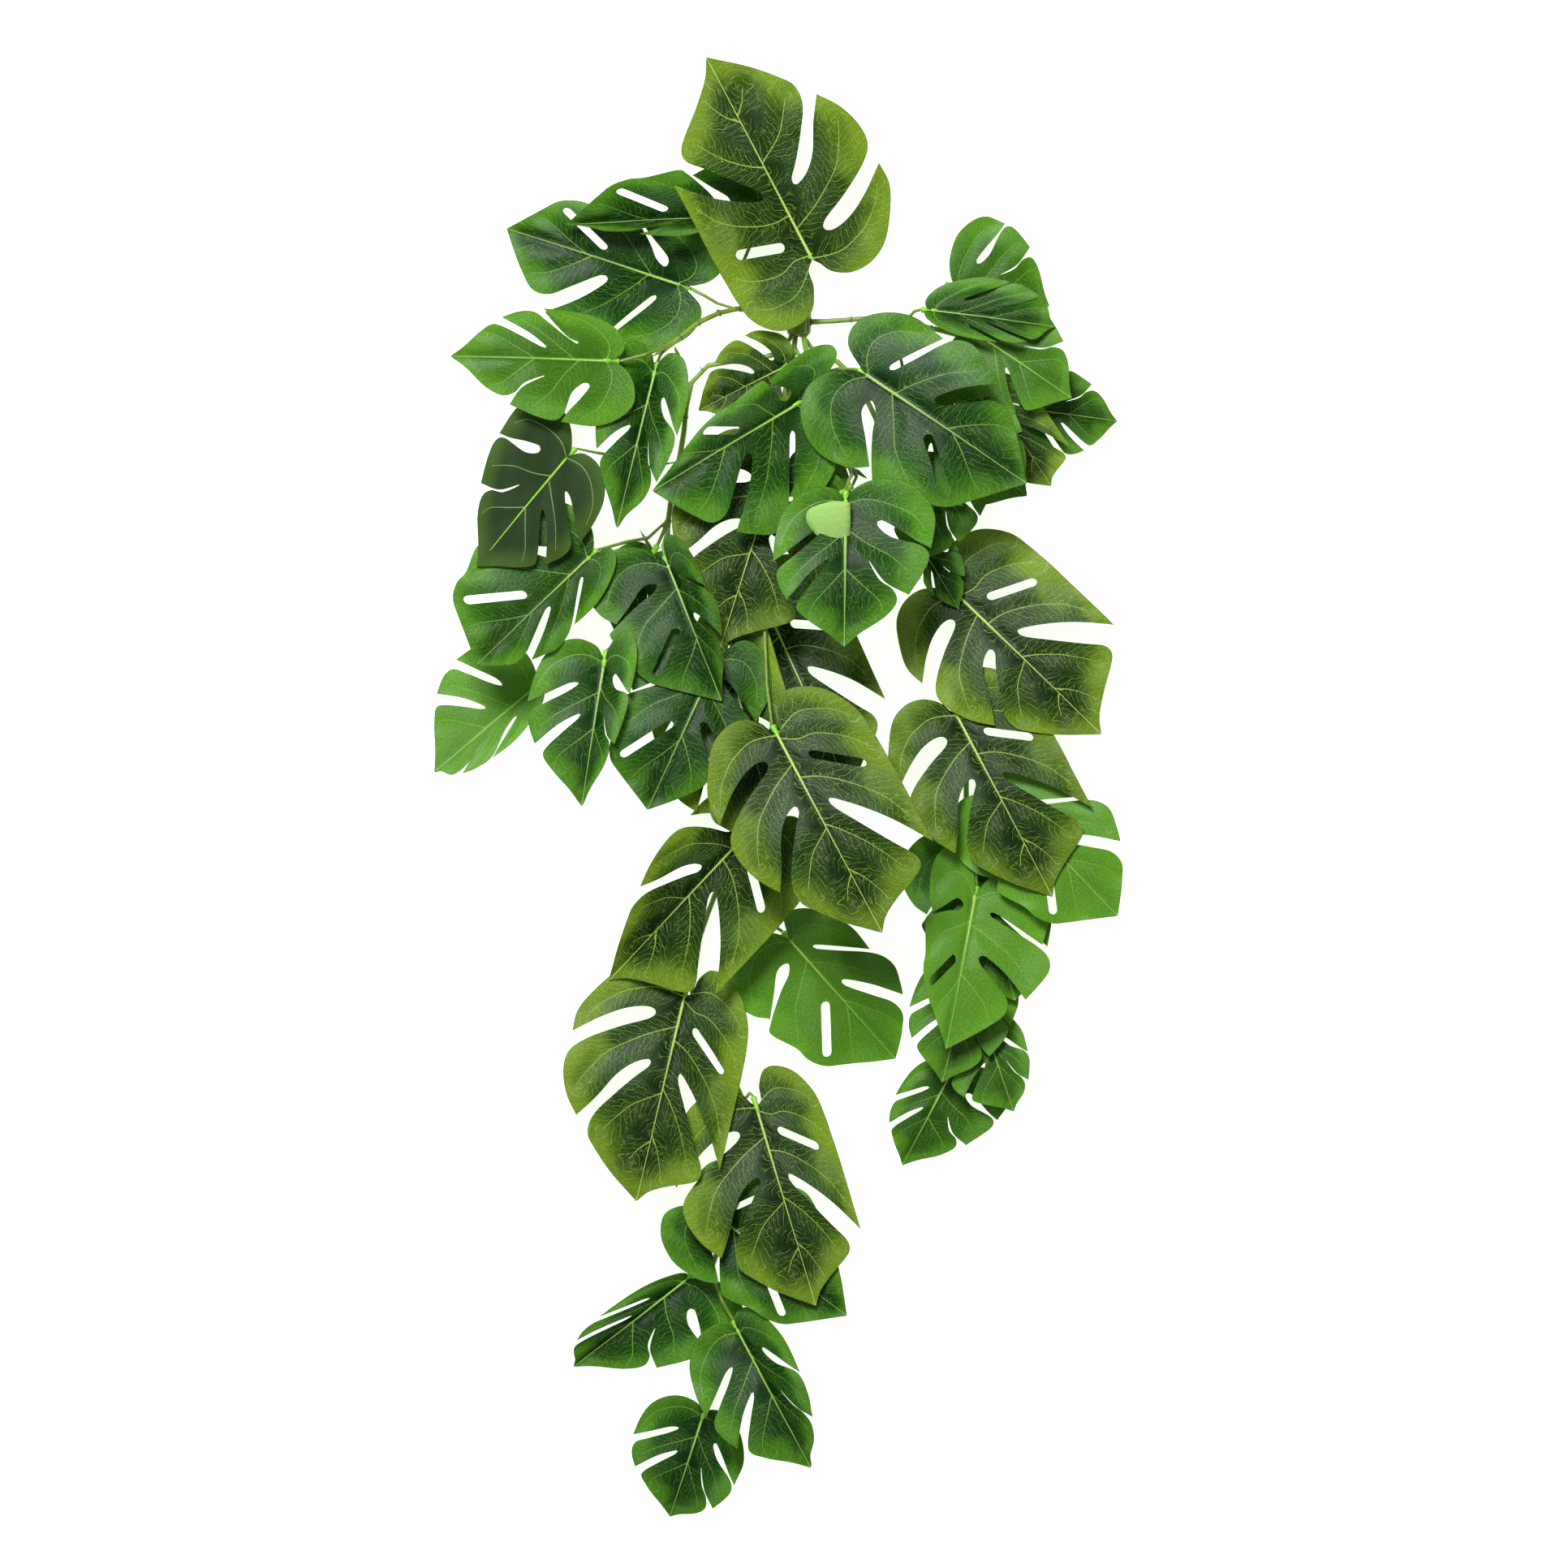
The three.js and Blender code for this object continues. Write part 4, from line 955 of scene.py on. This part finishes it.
def dress(piece, node):
    """The piece stands for a node of the frame and rides with it."""
    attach(piece, BODY)
    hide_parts(node)


triangles = 0
for seed, (name, leaf) in enumerate(LEAVES.items()):
    piece = added("blade_" + name, leaf_mesh("blade_" + name, leaf, seed))
    face = olive_print if leaf["die"] == "large" else green_print
    for material in (face, back, cut, collar_plastic):
        piece.data.materials.append(material)
    dress(piece, "leaf_" + name)
    triangles += sum(len(p.vertices) - 2 for p in piece.data.polygons)
print(len(LEAVES), "leaves,", triangles, "triangles")

# %% [markdown]
# One lobe of a small leaf in the middle of the spray has rolled over on itself, next to its collar, and
# shows its pale back. It is a blade of its own here: its outline is filled like a die, and its height
# rises from the leaf that it lies on to the fold. Bending the leaf's own net would stretch it there.

# %% The rolled lobe
LOBE_ON = "short_3"
LOBE_OVER = (12, -12)  # the place on the die that the lobe lies over
LOBE = [(42.5, 166.5), (42.8, 155), (42.3, 144.5), (34, 144.2), (26, 146), (20, 151), (17, 157.5),
        (18.5, 162.5), (25, 165.5), (34, 167.5)]  # its outline in plan, in mm
FOLD_ENDS = 0, 2  # the two points where the fold ends, which are sharp
LOBE_LIFT = (1.6, 6.5)  # how high it lies over the leaf at its free end and at the fold
LOBE_TURN = 0.62  # share of half a turn from there to there
LOBE_CURL, LOBE_MIDDLE = 0.012, 32  # how strongly it curls down to both sides, and the x of its middle
LOBE_MEASURES = {"vein_gap": 6.0, "from_edge": 12.0, "to_next": 9.0, "vein_side": 1.0}

leaf = LEAVES[LOBE_ON]
loop = [*LOBE, LOBE[0]]
ends = [*FOLD_ENDS, len(LOBE)]
outline = np.concatenate([smooth_run(loop[a:b + 1], 1.5)[:-1] for a, b in zip(ends, ends[1:])])
plan, faces = filled(outline, [], [])
low, high = plan[:, 1].min(), plan[:, 1].max()
rise = (plan[:, 1] - low) / (high - low)
under = leaf["height"] + surface(leaf, np.array([LOBE_OVER], float))[0, 2]
height = under + LOBE_LIFT[0] + (LOBE_LIFT[1] - LOBE_LIFT[0]) * np.sin(rise * math.pi * LOBE_TURN)
height -= LOBE_CURL * (plan[:, 0] - LOBE_MIDDLE)**2
points = np.concatenate([np.column_stack([plan, height + side * BLADE / 2]) for side in (1, -1)])
count = len(plan)
mesh = blade_mesh("rolled_lobe", points, *shell(faces, sorted(rim_edges(faces)), count),
                  np.concatenate([plan, plan]),
                  {title: np.full(2 * count, value) for title, value in LOBE_MEASURES.items()})
for material in (back, green_print, cut):
    mesh.materials.append(material)
lobe = added("rolled_lobe", mesh)
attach(lobe, BODY)
print("rolled lobe", len(mesh.polygons), "faces")

# %% [markdown]
# A vine is one moulding with its stalks. Its solid has five flat sides, because that is all the frame
# needs. A voxel remesh makes it one skin and smoothing rounds it, so the fine vine keeps the route of
# the solid exactly. Sweeping new tubes would need the route of each stalk a second time.

# %% The vines
VOXEL = 0.55 * MM
SMOOTHING = 6  # rounds of it


def remade(node):
    """A smooth skin over a copy of a node's mesh."""
    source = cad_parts[node].data
    work = bmesh.new()
    work.from_mesh(source)
    bmesh.ops.remove_doubles(work, verts=work.verts, dist=1e-6)
    mesh = bpy.data.meshes.new("draft")
    work.to_mesh(mesh)
    work.free()
    draft = added("draft", mesh)
    skin = draft.modifiers.new("skin", "REMESH")
    skin.mode = "VOXEL"
    skin.voxel_size = VOXEL
    soft = draft.modifiers.new("soft", "SMOOTH")
    soft.iterations = SMOOTHING
    soft.factor = 0.5
    seen = draft.evaluated_get(bpy.context.evaluated_depsgraph_get())
    made = bpy.data.meshes.new_from_object(seen)
    bpy.data.objects.remove(draft)
    bpy.data.meshes.remove(mesh)
    made.polygons.foreach_set("use_smooth", [True] * len(made.polygons))
    return made


for node in [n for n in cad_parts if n.startswith("vine_")]:
    mesh = remade(node)
    mesh.materials.clear()
    mesh.materials.append(stem_plastic)
    piece = added("skin_" + node, mesh)
    dress(piece, node)
    print(piece.name, len(mesh.polygons), "faces")

# %% [markdown]
# Where a stalk leaves a vine, the moulding has a knot, and there are more of them between the stalks.
# They repeat along a path, which is what Geometry Nodes are for: the tree walks the vine's route and
# sets one small ring at each step, turned to the vine's direction. The steps are even, so a ring need
# not lie where a stalk does.

# %% The routes of the vines
ROUTES = {
    "upper_left": [(5.7, 276, 7), (0, 276, 7), (-24, 284, 12), (-37, 279, 18), (-53, 270, 24), (-60, 262, 26),
                   (-68, 258, 26)],
    "lower_left": [(9, 267.7, 9.5), (9, 262, 9.5), (-6, 255, 8), (-46, 247, 6), (-56, 202, 5), (-63, 166, 5),
                   (-66, 135, 4), (-74, 98, 4)],
    "long": [(11, 267.7, 4), (11, 262, 4), (6, 240, 4), (-8, 149, 4), (-1, 88, 4), (-1, 35, 4), (-27, -36, 4),
             (-50, -119, 4), (-14, -202, 4), (-40, -292, 4), (-32, -318, 4), (-38, -347, 4)],
    "short": [(16, 267.7, 9.5), (16, 264, 9.5), (16, 260, 12), (20, 250, 22), (24, 235, 28), (30, 205, 32),
              (42, 190, 36)],
    "lower_right": [(15.5, 267.7, 4), (15.5, 262, 4), (42, 248, 5), (90, 140, 5), (108, 111, 5), (111, 43, 5),
                    (113, -55, 5), (121, -130, 5), (112, -150, 5)],
    "upper_right": [(20.3, 276, 7), (26, 276, 7), (66, 278, 8), (87, 273, 8), (111, 266, 8), (123, 243, 7)],
}


def round_route(points, count=16):
    """The curve that the solid of a vine follows: a centripetal one through the points."""
    p = [np.array(q, float) for q in points]
    p = [2 * p[0] - p[1], *p, 2 * p[-1] - p[-2]]
    line = []
    for a, b, c, d in zip(p, p[1:], p[2:], p[3:]):
        t0 = 0.0
        t1 = t0 + np.linalg.norm(b - a)**0.5
        t2 = t1 + np.linalg.norm(c - b)**0.5
        t3 = t2 + np.linalg.norm(d - c)**0.5
        for t in t1 + (t2 - t1) * np.arange(count) / count:
            ab = ((t1 - t) * a + (t - t0) * b) / (t1 - t0)
            bc = ((t2 - t) * b + (t - t1) * c) / (t2 - t1)
            cd = ((t3 - t) * c + (t - t2) * d) / (t3 - t2)
            abc = ((t2 - t) * ab + (t - t0) * bc) / (t2 - t0)
            bcd = ((t3 - t) * bc + (t - t1) * cd) / (t3 - t1)
            line.append(((t2 - t) * abc + (t - t1) * bcd) / (t2 - t1))
    return np.array([*line, p[-2]])


# %% The tree of the knots
knots = bpy.data.node_groups.new("knots along a vine", "GeometryNodeTree")
knots.interface.new_socket("Route", in_out="INPUT", socket_type="NodeSocketGeometry")
for title, kind in (("Spacing", "Float"), ("Radius", "Float"), ("Bead", "Float"), ("Seed", "Int"),
                    ("Finish", "Material")):
    knots.interface.new_socket(title, in_out="INPUT", socket_type="NodeSocket" + kind)
knots.interface.new_socket("Knots", in_out="OUTPUT", socket_type="NodeSocketGeometry")
given = knots.nodes.new("NodeGroupInput").outputs
result = knots.nodes.new("NodeGroupOutput").inputs


def step(kind, inputs, out=0, **settings):
    """A new node of the tree of the knots. Gives one of its outputs."""
    return wired(knots, knots.nodes.new(kind), inputs, settings)[out]


RING_SIDES, BEAD_SIDES = 12, 6
SMALLEST, LARGEST = 0.92, 1.12  # sizes of the rings
curve = step("GeometryNodeMeshToCurve", {0: given["Route"]})
places = step("GeometryNodeCurveToPoints", {"Curve": curve, "Length": given["Spacing"]}, mode="LENGTH")
circle = step("GeometryNodeCurvePrimitiveCircle", {"Resolution": RING_SIDES, "Radius": given["Radius"]})
bead = step("GeometryNodeCurvePrimitiveCircle", {"Resolution": BEAD_SIDES, "Radius": given["Bead"]})
ring = step("GeometryNodeCurveToMesh", {"Curve": circle, "Profile Curve": bead})
tangent = places.node.outputs["Tangent"]
turned = step("FunctionNodeAlignRotationToVector", {"Vector": tangent}, axis="Z")
size = step("FunctionNodeRandomValue", {2: SMALLEST, 3: LARGEST, "Seed": given["Seed"]}, out=1,
            data_type="FLOAT")
laid = step("GeometryNodeInstanceOnPoints",
            {"Points": places, "Instance": ring, "Rotation": turned, "Scale": size})
real = step("GeometryNodeRealizeInstances", {0: laid})
smooth = step("GeometryNodeSetShadeSmooth", {0: real})
painted = step("GeometryNodeSetMaterial", {0: smooth, "Material": given["Finish"]})
knots.links.new(painted, result[0])
print("tree of the knots:", len(knots.nodes), "nodes")
SOCKETS = {item.name: item.identifier for item in knots.interface.items_tree if item.in_out == "INPUT"}


# %% The knots, vine by vine
def knotted(name, values):
    """The knots of one vine as a plain mesh."""
    line = round_route(ROUTES[name]) * MM
    mesh = bpy.data.meshes.new("route")
    mesh.from_pydata(line.tolist(), [(k, k + 1) for k in range(len(line) - 1)], [])
    route = added("route", mesh)
    maker = route.modifiers.new("knots", "NODES")
    maker.node_group = knots
    for title, value in values.items():
        maker[SOCKETS[title]] = value
    seen = route.evaluated_get(bpy.context.evaluated_depsgraph_get())
    made = bpy.data.meshes.new_from_object(seen)
    route.modifiers.remove(maker)
    bpy.data.objects.remove(route)
    return made


SPACINGS = {"upper_left": 13, "lower_left": 30, "long": 38, "short": 24, "lower_right": 38,
            "upper_right": 20}  # from one knot to the next, in mm
KNOT_RADIUS, BEAD_RADIUS = 1.75, 0.42  # of the ring, and of the bead that it is bent from, in mm
for number, (name, spacing) in enumerate(SPACINGS.items()):
    mesh = knotted(name, {"Spacing": spacing * MM, "Radius": KNOT_RADIUS * MM, "Bead": BEAD_RADIUS * MM,
                          "Seed": number, "Finish": knot_plastic})
    piece = added("knots_" + name, mesh)
    dress(piece, "vine_" + name)
    print(piece.name, len(mesh.polygons), "faces")

# %% [markdown]
# The crown is the knob that all vines leave, with the stub that the spray is held by. Moulded ribs run
# along the knob. Both are turned on a lathe in code, with a radius that waves round the axis for the
# ribs. A cylinder with cut grooves would look the same and take a boolean for each groove.

# %% The crown
CROWN_X, CROWN_Z = 13, 7
CROWN = [(268, 4.6), (268.6, 5.8), (270, 6.6), (276, 6.9), (283, 6.8), (288, 6.2), (291, 5.2), (293, 4.5),
         (300, 4.2), (318, 4.1), (336, 4.2), (340, 4.5), (345, 4.5), (346, 3.6)]  # y and radius, in mm
RIBS, RIB_DEPTH, RIBS_TO = 12, 0.35, 292  # how many, how deep, and the y where they end
ROUND = 96  # points round the crown
rings = []
for y, radius in CROWN:
    for k in range(ROUND):
        angle = 2 * math.pi * k / ROUND
        reach = radius + RIB_DEPTH * math.cos(RIBS * angle) * (y < RIBS_TO)
        rings.append(Vector((CROWN_X + reach * math.cos(angle), y, CROWN_Z + reach * math.sin(angle))) * MM)
walls = [(r * ROUND + k, (r + 1) * ROUND + k, (r + 1) * ROUND + (k + 1) % ROUND, r * ROUND + (k + 1) % ROUND)
         for r in range(len(CROWN) - 1) for k in range(ROUND)]
caps = [tuple(range(ROUND)), tuple(reversed(range((len(CROWN) - 1) * ROUND, len(CROWN) * ROUND)))]
mesh = bpy.data.meshes.new("crown_knob")
mesh.from_pydata(rings, [], walls + caps)
shape = bmesh.new()
shape.from_mesh(mesh)
bmesh.ops.recalc_face_normals(shape, faces=shape.faces)
shape.to_mesh(mesh)
shape.free()
mesh.polygons.foreach_set("use_smooth", [len(p.vertices) == 4 for p in mesh.polygons])
mesh.materials.append(stem_plastic)
knob = added("crown_knob", mesh)
dress(knob, "crown")
print("crown", len(mesh.polygons), "faces")

# %% [markdown]
# The photo's light is broad and even: no hard shadow, a soft shine on the leaves and a white ground. One
# large lamp hangs above the crown end, a wider and weaker one evens out the shadows, and the pale floor
# and the sky do the rest. The floor glows a little by itself. Stronger lamps would make it as white as
# the photo's ground too, but they would bleach the leaves.

# %% The floor and the light
FLOOR_REACH = 6.0  # how far the floor reaches to each side, in metres
FLOOR_GLOW, SKY = 0.75, 0.2
LAMPS = {"key": ((-0.5, 1.3, 2.2), 0.8, 100), "wide": ((0.5, -0.7, 2.7), 2.4, 14)}  # place, width, watts

floor_paint, tree, shader = finish("pale floor")
mottle = put(tree, "TexNoise", at={0: put(tree, "TexCoord", out="Object"), 2: 3.0})
pale = blend(tree, mottle, (0.9, 0.9, 0.9, 1), (0.92, 0.92, 0.915, 1))
tree.links.new(pale, shader.inputs["Base Color"])
shader.inputs["Roughness"].default_value = 0.9
shader.inputs["Emission Color"].default_value = (1, 1, 1, 1)
shader.inputs["Emission Strength"].default_value = FLOOR_GLOW
shader.inputs["Specular IOR Level"].default_value = 0.1
mesh = bpy.data.meshes.new("floor")
square = [(x * FLOOR_REACH, y * FLOOR_REACH, 0) for x, y in ((-1, -1), (1, -1), (1, 1), (-1, 1))]
mesh.from_pydata(square, [], [(0, 1, 2, 3)])
mesh.materials.append(floor_paint)
floor = added("floor", mesh)

for name, (at, width, power) in LAMPS.items():
    lamp = bpy.data.lights.new(name, "AREA")
    lamp.size = width
    lamp.energy = power
    holder = added(name, lamp)
    holder.location = at
    holder.rotation_euler = (-Vector(at)).to_track_quat("-Z", "Y").to_euler()

world = bpy.data.worlds.new("room")
world.use_nodes = True
sky = world.node_tree.nodes["Background"].inputs
sky["Color"].default_value = (1, 1, 1, 1)
sky["Strength"].default_value = SKY
scene.world = world
scene.view_settings.view_transform = "Standard"
